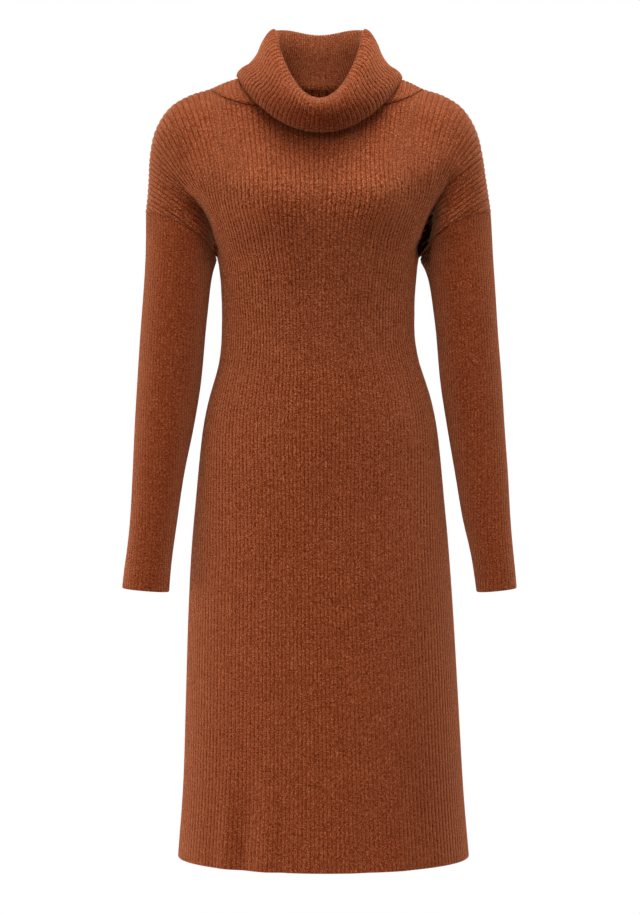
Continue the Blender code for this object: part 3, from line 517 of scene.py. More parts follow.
def body_wales(u, side, face):
    """Wales of the body above the underarm level: those that run up to the top
    of the fold, those that end in it, and the first ones' way on to the neck
    and shoulder; each (rows, wales, 3)."""
    levels, x = chest_map(u, side, face)
    t = np.linspace(0, 1, ROWS_LOW + 1)

    def lay(columns, ends):
        path = []
        for c, end in zip(columns, ends):
            z = UNDERARM_Z + (end - UNDERARM_Z) * t
            path.append(np.stack([np.interp(z, levels, x[:, c]), z], axis=1))
        return place(np.stack(path, axis=1), side, face)
    last = UP_RIBS * 5
    low = lay(range(last + 1), np.full(last + 1, FOLD_TOP_Z))
    k = (u[last:] - UP_RIBS) / ARM_RIBS
    gusset = lay(range(last, len(u)), FOLD_TOP_Z + (UNDERARM_Z - FOLD_TOP_Z) * k)
    g = u[:last + 1] / UP_RIBS
    m = np.stack([x[-1, :last + 1], np.full(last + 1, FOLD_TOP_Z)], axis=1)
    lean = np.degrees(np.arctan2(x[-1, :last + 1] - x[-7, :last + 1], levels[-1] - levels[-7]))
    path = bezier(m, lean, top_points(g, face), table(WALE_LEAN, 1, g), 150)
    high = np.stack([at_length(p, end_rows(length_along(p)[-1], ROWS_TOP, SEAM_ROWS))
                     for p in place(path, side, face)], axis=1)
    return low, gusset, high


def arm_line(k, side, face):
    """Front view of the drop shoulder's wales that start in the armpit fold."""
    z = FOLD_TOP_Z + (UNDERARM_Z - FOLD_TOP_Z) * k
    p0 = np.stack([fold_x(z, side, face), z], axis=1)
    return bezier(p0, 50 - 16 * k ** 6, at_fraction(END_TO_ARM, k), 42 + 11 * k, 220, 0.31)


def armhole_line(side, face):
    """Front view of the armhole seam, from the underarm to the outer side."""
    p0 = np.array([[float(fold_x(UNDERARM_Z, side, face)), UNDERARM_Z]])
    return bezier(p0, 38.0, ARM_TO_SLEEVE[-1:], 80.0, 220)[0]


def arm_wales(k, side, face):
    return np.stack([at_length(p, end_rows(length_along(p)[-1], ROWS_TOP, SEAM_ROWS, 1 + 0.7 * q))
                     for p, q in zip(place(arm_line(k, side, face), side, face), k)], axis=1)


def seam_wales(t, side, face):
    """Wales that start on the armhole seam, side by side with the last one from
    the fold (t = 0); also how far along that one each of them starts."""
    seam = armhole_line(side, face)
    last = arm_line(np.array([1.0]), side, face)[0]
    gap = np.linalg.norm(seam[:, None] - last[None], axis=2)
    foot = np.maximum.accumulate(gap.argmin(axis=1))
    far = np.maximum.accumulate(gap.min(axis=1))
    far = far / far[-1] + np.arange(len(far)) * 1e-9
    f = np.interp(t, far, np.arange(len(far)))
    start = np.stack([np.interp(f, np.arange(len(seam)), seam[:, k]) for k in (0, 1)], axis=1)
    at = np.interp(f, np.arange(len(foot)), foot).round().astype(int)
    way = np.gradient(last, axis=0)[at]
    path = bezier(start, np.degrees(np.arctan2(way[:, 0], way[:, 1])),
                  at_fraction(ARM_TO_SLEEVE, t), 53 + 5 * t, 220)
    rows = [at_length(p, end_rows(max(length_along(p)[-1], 1e-9), ROWS_TOP, SEAM_ROWS, 1.7))
            for p in place(path, side, face)]
    return np.stack(rows, axis=1), length_along(last)[at]


def wedge_wales(f, side):
    """The back piece where it comes over the ridge to the shoulder seam."""
    q, s = at_fraction(NECK_TO_CROSS, f), at_fraction(SEAM_LINE, f)
    t = (1 - np.cos(np.linspace(0, 1, 80) * math.pi / 2))[None, :, None]

    def bent(q, s):
        c = 0.5 * (q + s) + 0.22 * np.linalg.norm(s - q, axis=-1)[:, None] * np.array([1.0, 0.15])
        q, c, s = (p[:, None, :] for p in (q, c, s))
        return (1 - t) ** 2 * q + 2 * t * (1 - t) * c + t * t * s
    first = bent(q[:1], s[:1])
    neck = at_fraction(neck_front(np.linspace(90, SEAM_NECK_ANGLE, 80)),
                       length_along(first[0]) / length_along(first[0])[-1])
    path = bent(q, s) + (neck - first[0]) * (1 - ease(f / 0.35))[:, None, None]
    return np.stack([at_length(p, end_rows(max(length_along(p)[-1], 1e-9), ROWS_WEDGE, SEAM_ROWS))
                     for p in place(path, side, "front")], axis=1)


def underarm_point(side):
    sx = 1 if side == "right" else -1
    return np.array([sx * float(T_HALF(UNDERARM_Z)) + float(MID_CHEST(UNDERARM_Z)), 0.0, UNDERARM_Z])


# --------------------------------------------------------------------------
# sleeve and collar
# --------------------------------------------------------------------------
SLEEVE_ROWS = [(i / (len(SLEEVE_RING) - 1),) + r for i, r in enumerate(SLEEVE_RING)]
S_Z, S_RISE, S_FWD, S_DEEP = (Curve(SLEEVE_ROWS, k, 0.03) for k in (1, 2, 3, 4))
S_EDGE = [Curve(SLEEVE_EDGE, k, 0.010) for k in range(1, 5)]


def sleeve_point(side, v, a):
    """Point of the sleeve at fraction v of its rings, angle a (0 = inner side,
    pi/2 = front, pi = outer side)."""
    z, rise, fwd, deep = float(S_Z(v)), float(S_RISE(v)), float(S_FWD(v)), float(S_DEEP(v))
    c = (0, 1) if side == "left" else (2, 3)
    xo, xi = float(S_EDGE[c[0]](z + rise / 2)), float(S_EDGE[c[1]](z - rise / 2))
    w = -np.cos(a)
    full = 2.15
    s = np.sign(np.sin(a)) * np.abs(np.sin(a)) ** (2 / full)
    w = np.sign(w) * np.abs(w) ** (2 / full)
    x = (xo + xi) / 2 + w * (xo - xi) / 2
    sx = 1 if side == "right" else -1
    return np.stack([sx * x, -fwd - s * deep, z + w * rise / 2], axis=-1)


def collar_rings(phi):
    """The rings of COLLAR at the angles phi (rings, angles): 0 is the front
    centre, growing towards +X."""
    out = []
    for i, row in enumerate(COLLAR):
        half, fd, bd, zf, zs, zb, droop = row
        v = i / (len(COLLAR) - 1)
        c, s = np.cos(phi[i]), np.sin(phi[i])
        out_ = COLLAR_SIDE * float(ease((v - 0.5) / 0.45)) * s * s
        y = np.where(c > 0, -(fd + out_) * c, -bd * c)
        z = np.where(c > 0, zs + (zf - zs) * np.abs(c) ** droop, zs + (zb - zs) * c ** 2)
        hump = COLLAR_HUMP * np.sin(2 * phi[i]) ** 2 * (c < 0) * math.exp(-((v - 0.32) / 0.22) ** 2)
        tilt = COLLAR_TILT * float(ease((v - 0.4) / 0.4)) * s
        out.append(np.stack([half * s, y, z + hump - tilt], axis=-1))
    return np.array(out)


def neck_line():
    """The neck seam as a closed fine line from the front centre towards +X."""
    halves = {}
    for side in ("left", "right"):
        front = place(neck_front(np.linspace(0, 90, 200)), side, "front")
        back = place(neck_back(np.linspace(90, 0, 200)), side, "back")
        halves[side] = np.vstack([front, back[1:]])
    return np.vstack([halves["right"], halves["left"][::-1][1:]])


# --------------------------------------------------------------------------
# the middle surface: patches of rows and columns, welded along their rims
# --------------------------------------------------------------------------
class Cloth:
    def __init__(self):
        self.points, self.count, self.index, self.patches = [], 0, {}, []
        self.rim_points = {}

    def weld(self, p):
        cell = tuple(np.floor(p / 6e-5).astype(int))
        for dx in (-1, 0, 1):
            for dy in (-1, 0, 1):
                for dz in (-1, 0, 1):
                    i = self.index.get((cell[0] + dx, cell[1] + dy, cell[2] + dz))
                    if i is not None and np.linalg.norm(self.rim_points[i] - p) < 6e-5:
                        return i
        i = self.count
        self.count += 1
        self.index[cell] = i
        self.rim_points[i] = p
        self.points.append(p[None, :])
        return i

    def patch(self, piece, grid, sign, u, v, rows, cols, edge, ids=None, ribs=1.0,
              seam_and_painted_shade=None, soft=0.0):
        """grid (R, C, 3); u, v knit coordinates; rows and cols are those the
        hidden side keeps; edge is each point's distance to the piece's edge;
        ribs is how strong the ribs are; mark is how dark the seam line is, and on
        the collar it also carries painted shade; soft is how much less than usual
        the cloth sinks at its edge."""
        R, C = grid.shape[:2]
        if ids is None:
            ids = np.full((R, C), -1)
            for r in range(R):
                for c in (range(C) if r in (0, R - 1) else (0, C - 1)):
                    ids[r, c] = self.weld(grid[r, c])
            n = (R - 2) * (C - 2)
            ids[1:-1, 1:-1] = self.count + np.arange(n).reshape(R - 2, C - 2)
            self.points.append(grid[1:-1, 1:-1].reshape(-1, 3))
            self.count += n
        one = np.ones((R, C))
        self.patches.append(dict(piece=piece, ids=ids, sign=sign, u=one * u, v=one * v,
                                 rows=sorted(set(rows)), cols=sorted(set(cols)), edge=one * edge,
                                 ribs=one * ribs, soft=one * soft,
                                 seam_and_painted_shade=one * (0.5 * near(edge) if seam_and_painted_shade is None else seam_and_painted_shade)))
        return ids

    def loose(self, grid):
        """Ids for points that need no welding."""
        n = len(grid)
        ids = self.count + np.arange(n)
        self.points.append(grid)
        self.count += n
        return ids


def near(edge):
    """1 on a seam, 0 a few millimetres away from it."""
    return np.where(edge < 1.5, 1 - ease(edge / 0.0035), 0.0)


def cells(ids, sign):
    """Quads of a grid of ids, rows running from r to r + 1."""
    a, b, c, d = ids[:-1, :-1], ids[:-1, 1:], ids[1:, 1:], ids[1:, :-1]
    q = np.stack([a, b, c, d] if sign > 0 else [d, c, b, a], axis=-1)
    return q.reshape(-1, 4)


def rib_columns(ribs):
    return np.concatenate([(np.arange(ribs)[:, None] + np.array(PHASES)).ravel(), [ribs]])


def inner_columns(n):
    """Of columns with five to a rib, the ones the hidden side keeps."""
    return [i for i in range(n + 1) if i % 5 in (0, 2, 3)] + [n]


def along(grid):
    """Distance down each column of a grid from its first row."""
    d = np.linalg.norm(np.diff(grid, axis=0), axis=2)
    return np.vstack([np.zeros((1, grid.shape[1])), np.cumsum(d, axis=0)])


def build_cloth():
    s = Cloth()
    hem = TORSO[-1][0]
    zs = np.linspace(UNDERARM_Z, hem + 0.0055, ROWS_SKIRT - 3 + 1)
    zs = np.concatenate([zs, hem + np.array([0.0026, 0.0010, 0.0])])
    u_body = rib_columns(BODY_RIBS)
    g = u_body / BODY_RIBS
    k_arm = rib_columns(ARM_RIBS) / ARM_RIBS
    k_seam = rib_columns(SEAM_RIBS) / SEAM_RIBS
    for face in ("front", "back"):
        piece = face + "_panel"
        for side in ("left", "right"):
            sx = 1 if side == "right" else -1
            sign = (-1 if side == "right" else 1) * (1 if face == "front" else -1)
            skirt = np.stack([half_section(z, face, side, g) for z in zs])
            skirt[:, -1, 1] = 0.0
            skirt[0, -1] = underarm_point(side)
            low, gusset, high = body_wales(u_body, side, face)
            low[0], gusset[0] = skirt[0, :UP_RIBS * 5 + 1], skirt[0, UP_RIBS * 5:]
            gusset[:, 0] = low[:, -1]
            gusset[:, -1] = underarm_point(side)
            arm = arm_wales(k_arm, side, face)
            arm[0, -1] = underarm_point(side)
            arm[-1, :, 1] = 0.0
            arm[:, 0] = high[:, -1]
            outer, foot = seam_wales(k_seam, side, face)
            outer[:, 0] = arm[:, -1]
            outer[-1, :, 1] = 0.0
            outer[:, -1] = outer[-1, -1]
            arm[0] = gusset[-1]
            neck, cross = SHARE[face]
            g_up = u_body[:UP_RIBS * 5 + 1] / UP_RIBS
            on_ridge = g_up >= (cross if face == "front" else neck) - 1e-9
            high[-1, on_ridge, 1] = 0.0
            high[0] = low[-1]
            arm[:, 0] = high[:, -1]
            # knit coordinates: v counts courses up from the hem
            v_low = -along(skirt) / COURSE
            v_up = along(low) / COURSE
            v_in = along(gusset) / COURSE
            v_hi = v_up[-1] + along(high) / COURSE
            rows_top = [r for r in range(ROWS_TOP + 1) if r % 4 == 0 or r == ROWS_TOP]
            top_edge = (along(high)[-1] - along(high))
            if face == "back":
                open_ = (g_up > neck + 1e-9) & (g_up < cross - 1e-9)
                top_edge = np.where(open_[None, :], 1.0, top_edge)
            cols = inner_columns(len(g) - 1)
            cols_up, cols_in = inner_columns(UP_RIBS * 5), inner_columns(ARM_RIBS * 5)
            u_up = u_body[None, :UP_RIBS * 5 + 1]
            hem_edge = (zs - hem)[:, None] * np.ones(len(g)) + 2.0   # 2 + distance: an open edge
            side_edge = np.linalg.norm(skirt - skirt[:, -1:], axis=2)
            skirt_edge = np.where(side_edge < 0.006, side_edge, 1.0)
            skirt_edge = np.where(zs[:, None] - hem < 0.006, hem_edge, skirt_edge)
            s.patch(piece, skirt, sign, u_body[None, :], v_low,
                    [r for r in range(ROWS_SKIRT + 1) if r % 4 == 0] + [ROWS_SKIRT - 2, ROWS_SKIRT],
                    cols, skirt_edge, ribs=np.interp(zs, *RIB_STRENGTH)[:, None], soft=0.5)
            s.patch(piece, low, -sign, u_up, v_up, inner_columns(ROWS_LOW), cols_up, 1.0,
                    ribs=np.interp(low[:, :, 2], *RIB_STRENGTH))
            under = np.linalg.norm(gusset - underarm_point(side), axis=2)
            to_fold = along(gusset)[-1] - along(gusset)
            s.patch(piece, gusset, -sign, u_body[None, UP_RIBS * 5:], v_in,
                    inner_columns(ROWS_LOW), cols_in, np.where(under < 0.006, under, 1.0),
                    ribs=np.interp(gusset[:, :, 2], *RIB_STRENGTH) * ease(0.2 + to_fold / 0.006))
            line = (g_up > neck) & (g_up < cross) if face == "front" else g_up < -1.0
            s.patch(piece, high, -sign, u_up, v_hi, rows_top, cols_up, top_edge, ribs=TOP_STRENGTH,
                    seam_and_painted_shade=near(top_edge * np.where(line, 0.45, 1.0)[None, :])
                    * np.where(line, 1.0, 0.5 if face == "front" else 0.1)[None, :])
            arm_d = along(arm)
            corner = np.linalg.norm(arm - underarm_point(side), axis=2)
            arm_edge = np.minimum(arm_d[-1] - arm_d, np.where(corner < 0.008, corner, 1.0))
            s.patch(piece, arm, -sign, UP_RIBS + k_arm[None, :] * ARM_RIBS,
                    v_in[-1][None, :] + arm_d / COURSE, rows_top,
                    cols_in, arm_edge, ribs=TOP_STRENGTH * ease(0.2 + arm_d / 0.006))
            d = along(outer)
            s.patch(piece, outer, -sign, BODY_RIBS + k_seam[None, :] * SEAM_RIBS,
                    (foot[None, :] + d) / COURSE, rows_top,
                    inner_columns(SEAM_RIBS * 5), np.minimum(d, d[-1] - d), ribs=TOP_STRENGTH,
                    seam_and_painted_shade=np.maximum(0.35 * near(d), 0.5 * near(d[-1] - d)),
                    soft=0.75 * near(d / 4))
            if face == "back":
                u_w = rib_columns(12)
                w = wedge_wales(u_w / 12, side)
                w[0] = high[-1, 65:126]
                w[:, -1] = high[-1, 125]
                s.patch(piece, w, -sign, 13 + u_w[None, :],
                        v_hi[-1][65:126][None, :] + along(w) / COURSE,
                        [r for r in range(ROWS_WEDGE + 1) if r % 4 == 0], inner_columns(60),
                        np.minimum(along(w)[-1] - along(w),
                                   np.linalg.norm(w - w[:, :1], axis=2)),
                        ribs=0.85, seam_and_painted_shade=near(0.5 * (along(w)[-1] - along(w))))
    build_sleeves(s)
    build_collar(s)
    s.points = np.vstack(s.points)
    return s


def build_sleeves(s):
    m = 480
    ang = np.linspace(0, 2 * math.pi, 2 * m + 1)
    for side in ("left", "right"):
        f = np.linspace(0, 1, m + 1) ** 1.75
        front = at_fraction(place(armhole_line(side, "front"), side, "front"), f)
        back = at_fraction(place(armhole_line(side, "back"), side, "back"), f)
        front[0] = back[0] = underarm_point(side)
        front[-1, 1] = back[-1, 1] = 0.0
        loop = np.vstack([front, back[::-1][1:]])
        delta = loop - sleeve_point(side, 0.0, ang)

        def ring(v):
            p = sleeve_point(side, v, ang) + delta * max(0.0, 1 - v / 0.28) ** 2
            p[-1] = p[0]
            return p
        # rows at even distances down the front of the sleeve
        vs = np.linspace(0, 1, 400)
        line = np.array([ring(v)[m // 2] for v in vs])
        d = length_along(line)
        total = d[-1]
        rows = ROWS_SLEEVE - 6
        dist = np.concatenate([[0, 0.0009, 0.0022], np.linspace(0.0045, total - 0.0055, rows + 1),
                               total - np.array([0.0026, 0.0010, 0.0])])
        n_half = 37
        u = rib_columns(n_half)
        left_ids, right_ids, lv = [], [], []
        grids = {"front": [], "back": []}
        us = {"front": [], "back": []}
        ids = {"front": [], "back": []}
        gap = {"front": [], "back": []}
        for dd in dist:
            v = float(np.interp(dd, d, vs))
            p = ring(v)
            pitch = float(table(SLEEVE_PITCH, 1, v))
            seam = s.loose(p[:1])[0]
            outer = s.loose(p[m:m + 1])[0]
            for face, half in (("front", p[:m + 1][::-1]), ("back", p[m:])):
                L = length_along(half)[-1]
                at = np.minimum(u * pitch, L)
                pts = at_length(half, at)
                row = np.full(len(u), seam)
                free = at < L - 0.0002
                free[0] = False
                row[free] = s.loose(pts[free])
                row[0] = outer
                grids[face].append(pts)
                ids[face].append(row)
                us[face].append(np.minimum(u, L / pitch))
                gap[face].append(L - at)
            lv.append(dd)
        lv = np.array(lv)[:, None]
        keep = sorted(set([0, 1, 3] + list(range(3, ROWS_SLEEVE - 3, 3))
                          + [ROWS_SLEEVE - 3, ROWS_SLEEVE - 1, ROWS_SLEEVE]))
        for face in ("front", "back"):
            e = np.minimum(lv * np.ones(len(u)), np.where(np.array(gap[face]) < 0.006,
                                                          np.array(gap[face]), 1.0))
            e = np.where(total - lv < 0.006, 2.0 + total - lv, e)
            sign = (1 if side == "left" else -1) * (-1 if face == "front" else 1)
            s.patch("sleeve_" + side, np.array(grids[face]), sign,
                    np.array(us[face]), -lv / COURSE, keep, inner_columns(len(u) - 1), e,
                    ids=np.array(ids[face]), ribs=SLEEVE_STRENGTH[side],
                    seam_and_painted_shade=np.maximum(0.35 * near(lv), 0.5 * near(np.array(gap[face]))),
                    soft=0.75 * near(lv / 4))


def build_collar(s):
    e = rib_columns(COLLAR_RIBS) / COLLAR_RIBS * 2 * math.pi
    loop = neck_line()
    first = at_fraction(loop, e / (2 * math.pi))
    phi0 = np.unwrap(np.arctan2(first[:, 0] / NECK_HALF,
                                np.where(first[:, 1] < 0, -first[:, 1] / 0.077,
                                         -first[:, 1] / 0.050)))
    phi = []
    for i in range(len(COLLAR)):
        f = float(ease((i + 1) / 5))
        phi.append(phi0 * (1 - f) + e * f)
    knots = np.concatenate([first[None], collar_rings(np.array(phi))])   # (12, columns, 3)
    step = np.linalg.norm(np.diff(knots, axis=0), axis=2).mean(axis=1)
    place_ = np.concatenate([[0], np.cumsum(step)])
    total = place_[-1]
    u = np.concatenate([[0, 0.0009, 0.0022], np.linspace(0.0045, total - 0.0045, ROWS_COLLAR - 5),
                        total - np.array([0.0020, 0.0008, 0.0])])
    grid = through(knots, place_, u)
    grid[0] = first
    grid[:, -1] = grid[:, 0]
    edge = np.minimum(u[:, None] * np.ones(len(e)), 1.0)
    edge = np.where(total - u[:, None] < 0.006, 2.0 + total - u[:, None], edge)
    R = len(u) - 1
    # the tube is closed with a fine seam at the centre back
    back = np.where(np.abs(e - math.pi) < 1e-6, 0.75, 0.0)[None, :]
    # painted shade towards the free edge in front, and painted shade inside the tube
    way = u[:, None] / total
    low = 0.78 * ease((way - 0.52) / 0.34) * np.clip(np.cos(e), 0, 1)[None, :] ** 1.5
    inside = ((0.16 + 0.34 * np.sin(e)[None, :] ** 2) * (1 - ease((way - 0.20) / 0.16))
              * ease(0.2 + way / 0.06))
    s.patch("collar", grid, 1, e[None, :] * COLLAR_RIBS / (2 * math.pi),
            along(grid) / COURSE, [0, 1, 3] + list(range(3, R - 2, 4)) + [R - 1, R],
            inner_columns(len(e) - 1), edge, ribs=1.10,
            seam_and_painted_shade=np.max([0.15 * near(edge), back + 0.0 * edge, low, inside], axis=0))


# --------------------------------------------------------------------------
# creases: soft troughs and ridges, placed one by one
# --------------------------------------------------------------------------
# on the body; x, z of one end and of the other, half width of the crease there
# and here, and its height (a trough is negative), in metres
CREASES_FRONT = [
    # flutes of the hem
    (-0.1000, -1.030, -0.0880, -0.880, 0.0100, 0.0130, -0.0043),
    (-0.1230, -1.030, -0.1120, -0.850, 0.0090, 0.0120, 0.0030),
    (-0.0700, -1.030, -0.0590, -0.900, 0.0105, 0.0115, 0.0036),
    (-0.0500, -1.030, -0.0470, -0.920, 0.0080, 0.0100, -0.0028),
    (0.0620, -1.030, 0.0520, -0.880, 0.0120, 0.0140, -0.0030),
    (0.1060, -1.030, 0.0980, -0.860, 0.0120, 0.0140, 0.0026),
    # shallow groove down the middle of the skirt
    (0.0065, -0.930, 0.0050, -0.815, 0.0080, 0.0090, -0.0030),
    # waist and hips
    (-0.1180, -0.300, -0.0500, -0.372, 0.0110, 0.0150, -0.0020),
    (0.1160, -0.330, 0.0450, -0.395, 0.0110, 0.0150, -0.0022),
    (0.1280, -0.590, 0.0800, -0.560, 0.0140, 0.0160, -0.0018),
    (-0.1300, -0.620, -0.0850, -0.585, 0.0140, 0.0160, -0.0014),
    # drawn from the armpits
    (-0.1350, -0.215, -0.0850, -0.262, 0.0080, 0.0130, -0.0028),
    (0.1340, -0.212, 0.0860, -0.255, 0.0080, 0.0130, -0.0030),
]
CREASES_BACK = [
    (0.0950, -1.030, 0.0850, -0.870, 0.0120, 0.0140, -0.0036),
    (0.0680, -1.030, 0.0620, -0.900, 0.0110, 0.0120, 0.0026),
    (-0.0400, -1.030, -0.0440, -0.880, 0.0120, 0.0140, -0.0030),
    (-0.0720, -1.030, -0.0740, -0.900, 0.0110, 0.0120, 0.0026),
    (0.0000, -0.330, 0.0800, -0.372, 0.0120, 0.0160, -0.0028),
    (-0.0080, -0.345, -0.0820, -0.322, 0.0120, 0.0160, -0.0026),
    (-0.0900, -0.392, 0.0180, -0.410, 0.0140, 0.0180, -0.0022),
    (0.1080, -0.255, 0.0580, -0.318, 0.0100, 0.0150, -0.0024),
    (-0.1100, -0.250, -0.0620, -0.305, 0.0100, 0.0150, -0.0026),
    (0.0900, -0.560, 0.1300, -0.610, 0.0150, 0.0170, -0.0018),
]


def creased(p, face):
    """Height of the creases at points p of a face of the body."""
    h = np.zeros(len(p))
    q = p[:, [0, 2]]
    for x0, z0, x1, z1, w0, w1, high in (CREASES_FRONT if face == "front" else CREASES_BACK):
        a, b = np.array([x0, z0]), np.array([x1, z1])
        ab = b - a
        t = (q - a) @ ab / (ab @ ab)
        c = np.clip(t, 0, 1)
        d = np.linalg.norm(q - a - c[:, None] * ab, axis=1)
        w = w0 + (w1 - w0) * c
        # full at the first end, gone at the second
        h += high * np.exp(-(d / w) ** 2) * (1 - ease(c) ** 1.5)
    return h


# broad soft forms on top of the solids: x, z, half widths across and up, height
RELIEF_FRONT = [
    (-0.064, -0.1720, 0.050, 0.042, 0.0048),
    (0.066, -0.1720, 0.050, 0.042, 0.0054),
    (0.0, -0.1680, 0.060, 0.036, 0.0036),
    (0.0, -0.2480, 0.150, 0.044, -0.0056),
    (0.0, -0.4250, 0.115, 0.062, 0.0050),
    (0.0, -0.5600, 0.130, 0.070, -0.0026),
    (0.045, -0.8600, 0.060, 0.170, 0.0060),
]


def armpit_painted_shade(p):
    """How deep in an armpit fold the points are, 0..1, as the strength of the painted shade there.
    """
    out = np.zeros(len(p))
    z = p[:, 2]
    x = p[:, 0] - MID_CHEST(z)
    for side, sx in (("left", -1), ("right", 1)):
        for face, sy in (("front", -1), ("back", 1)):
            i = (x * sx > 0.1) & (p[:, 1] * sy > 0) & (z > UNDERARM_Z - 0.014) & (z < -0.13)
            off, zi = np.abs(x[i]) - fold_x(z[i], side, face), z[i]
            fill = table(FOLD, 5 if face == "back" else (3 if side == "left" else 4), zi)
            if side == "right" and face == "front":
                wide = 0.003 + 0.0120 * ease((-0.154 - zi) / 0.028)
                deeper = 0.005 * ease((-0.195 - zi) / 0.02)
                h = (1.08 * ease((off + 0.003 + deeper) / 0.004) * (1 - ease((off - wide) / 0.005))
                     * ease((0.55 - fill) / 0.3))
            else:
                h = 0.45 * ease((off - 0.001) / 0.009) * (1 - ease((off - 0.013) / 0.017))
                h = h * ease((0.75 - fill) / 0.5)
            if side == "right":
                # the end of the fold, under the arm
                flat = np.abs(p[i, 1]) / 0.030
                h = np.maximum(h, ease((off + 0.009) / 0.004) * (1 - ease((off - 0.013) / 0.005))
                               * (1 - ease((flat - 0.6) / 0.4)) * (1 - ease((zi + 0.205) / 0.012))
                               * (zi > UNDERARM_Z - 0.0008))
            out[i] = h * ease((zi - UNDERARM_Z + 0.014) / 0.008)
    return out


def painted_collar_shadow(p):
    """Painted shadow under the collar's free edge on the front: how near the points are to that
    edge, 0..1.
    """
    half, zf, zs, droop = (COLLAR[-1][k] for k in (0, 3, 4, 6))
    s = np.clip(np.abs(p[:, 0]) / half, 0, 1)
    low = zs + (zf - zs) * (1 - s * s) ** (droop / 2) - p[:, 2]
    near_ = np.where(low > 0, np.exp(-(low / 0.031) ** 2), 1.0)
    return near_ * (1 - ease((s - 0.55) / 0.45)) * (p[:, 1] < 0)


# painted light and shade of the front, under and over the bust, at the drop shoulders and at the
# lower sides of the skirt: x, z, half widths across and up, how much darker (below 0 a painted
# highlight)
PAINTED_LIGHT_FRONT = [
    (-0.055, -0.2010, 0.056, 0.026, 0.32),
    (0.062, -0.2010, 0.054, 0.026, 0.26),
    (-0.060, -0.1440, 0.060, 0.020, -0.20),
    (0.066, -0.1440, 0.056, 0.020, -0.26),
    (0.0, -0.1900, 0.045, 0.024, -0.10),
    (0.0, -0.2650, 0.105, 0.045, 0.13),
    (-0.192, -0.0900, 0.030, 0.050, 0.26),
    (0.198, -0.1300, 0.030, 0.055, 0.14),
    (0.152, -0.9500, 0.055, 0.180, 0.24),
    (-0.142, -0.9500, 0.050, 0.130, 0.17),
]


# painted light and shade on the front of the body
def painted_front_light(p):
    h = np.zeros(len(p))
    for x, z, wx, wz, dark in PAINTED_LIGHT_FRONT:
        h += dark * np.exp(-((p[:, 0] - x) / wx) ** 4 - ((p[:, 2] - z) / wz) ** 2)
    return h * ease(-p[:, 1] / 0.02)


def relief(p):
    h = np.zeros(len(p))
    for x, z, wx, wz, high in RELIEF_FRONT:
        h += high * np.exp(-((p[:, 0] - x) / wx) ** 2 - ((p[:, 2] - z) / wz) ** 2)
    return h * ease(-p[:, 1] / 0.05)


# --------------------------------------------------------------------------
# closed meshes of the pieces
# --------------------------------------------------------------------------
def mesh_normals(points, quads):
    c = points[quads]
    n = np.cross(c[:, 2] - c[:, 0], c[:, 3] - c[:, 1])
    out = np.zeros_like(points)
    for k in range(4):
        np.add.at(out, quads[:, k], n)
    return out / np.maximum(np.linalg.norm(out, axis=1), 1e-20)[:, None]


def soften(normals, quads, times):
    for _ in range(times):
        f = normals[quads].sum(axis=1)
        out = np.zeros_like(normals)
        for k in range(4):
            np.add.at(out, quads[:, k], f)
        normals = out / np.maximum(np.linalg.norm(out, axis=1), 1e-20)[:, None]
    return normals


def bend_limits(points, normals, quads):
    """How far a point can move along its normal before it meets a neighbour's
    way, outwards and inwards."""
    tight = {1: np.zeros(len(points)), -1: np.zeros(len(points))}
    for i in range(4):
        a, b = quads[:, i], quads[:, (i + 1) % 4]
        e = points[b] - points[a]
        l2 = (e * e).sum(axis=1)
        k = ((normals[b] - normals[a]) * e).sum(axis=1) / np.maximum(l2, 1e-9)
        k[l2 < 1e-9] = 0
        for side in (1, -1):
            np.maximum.at(tight[side], a, -k * side)
            np.maximum.at(tight[side], b, -k * side)
    return {s: 0.75 / np.maximum(t, 1e-3) for s, t in tight.items()}


def faces_of(patch, rows, cols, flip):
    """Faces of a patch with their knit coordinates."""
    grid = np.ix_(rows, cols)
    ids, u, v = patch["ids"][grid], patch["u"][grid], patch["v"][grid]
    sign = patch["sign"] * (-1 if flip else 1)
    q = cells(ids, sign)
    uv = np.stack([cells(u, sign), cells(v, sign)], axis=-1)
    bad = ((q == np.roll(q, -1, axis=1)).any(axis=1)
           | (q[:, 0] == q[:, 2]) | (q[:, 1] == q[:, 3]))
    faces = q[~bad].tolist()
    flat = uv[~bad].reshape(-1, 2)
    extra_f, extra_uv = [], []
    for i in np.flatnonzero(bad):
        seen, at = [], []
        for k in range(4):
            if q[i, k] not in seen:
                seen.append(int(q[i, k]))
                at.append(uv[i, k])
        if len(seen) == 3:
            extra_f.append(seen)
            extra_uv += at
    if extra_f:
        flat = np.vstack([flat, np.array(extra_uv)])
    return faces + extra_f, flat


def rim_of(faces):
    """Directed edges that only one face has."""
    a = np.array([x for f in faces for x in f])
    b = np.array([x for f in faces for x in f[1:] + f[:1]])
    n = int(max(a.max(), b.max())) + 1
    open_ = ~np.isin(a * n + b, b * n + a)
    return list(zip(a[open_].tolist(), b[open_].tolist()))


def knit_profile(u):
    return np.abs(np.sin(np.pi * u)) ** 0.62


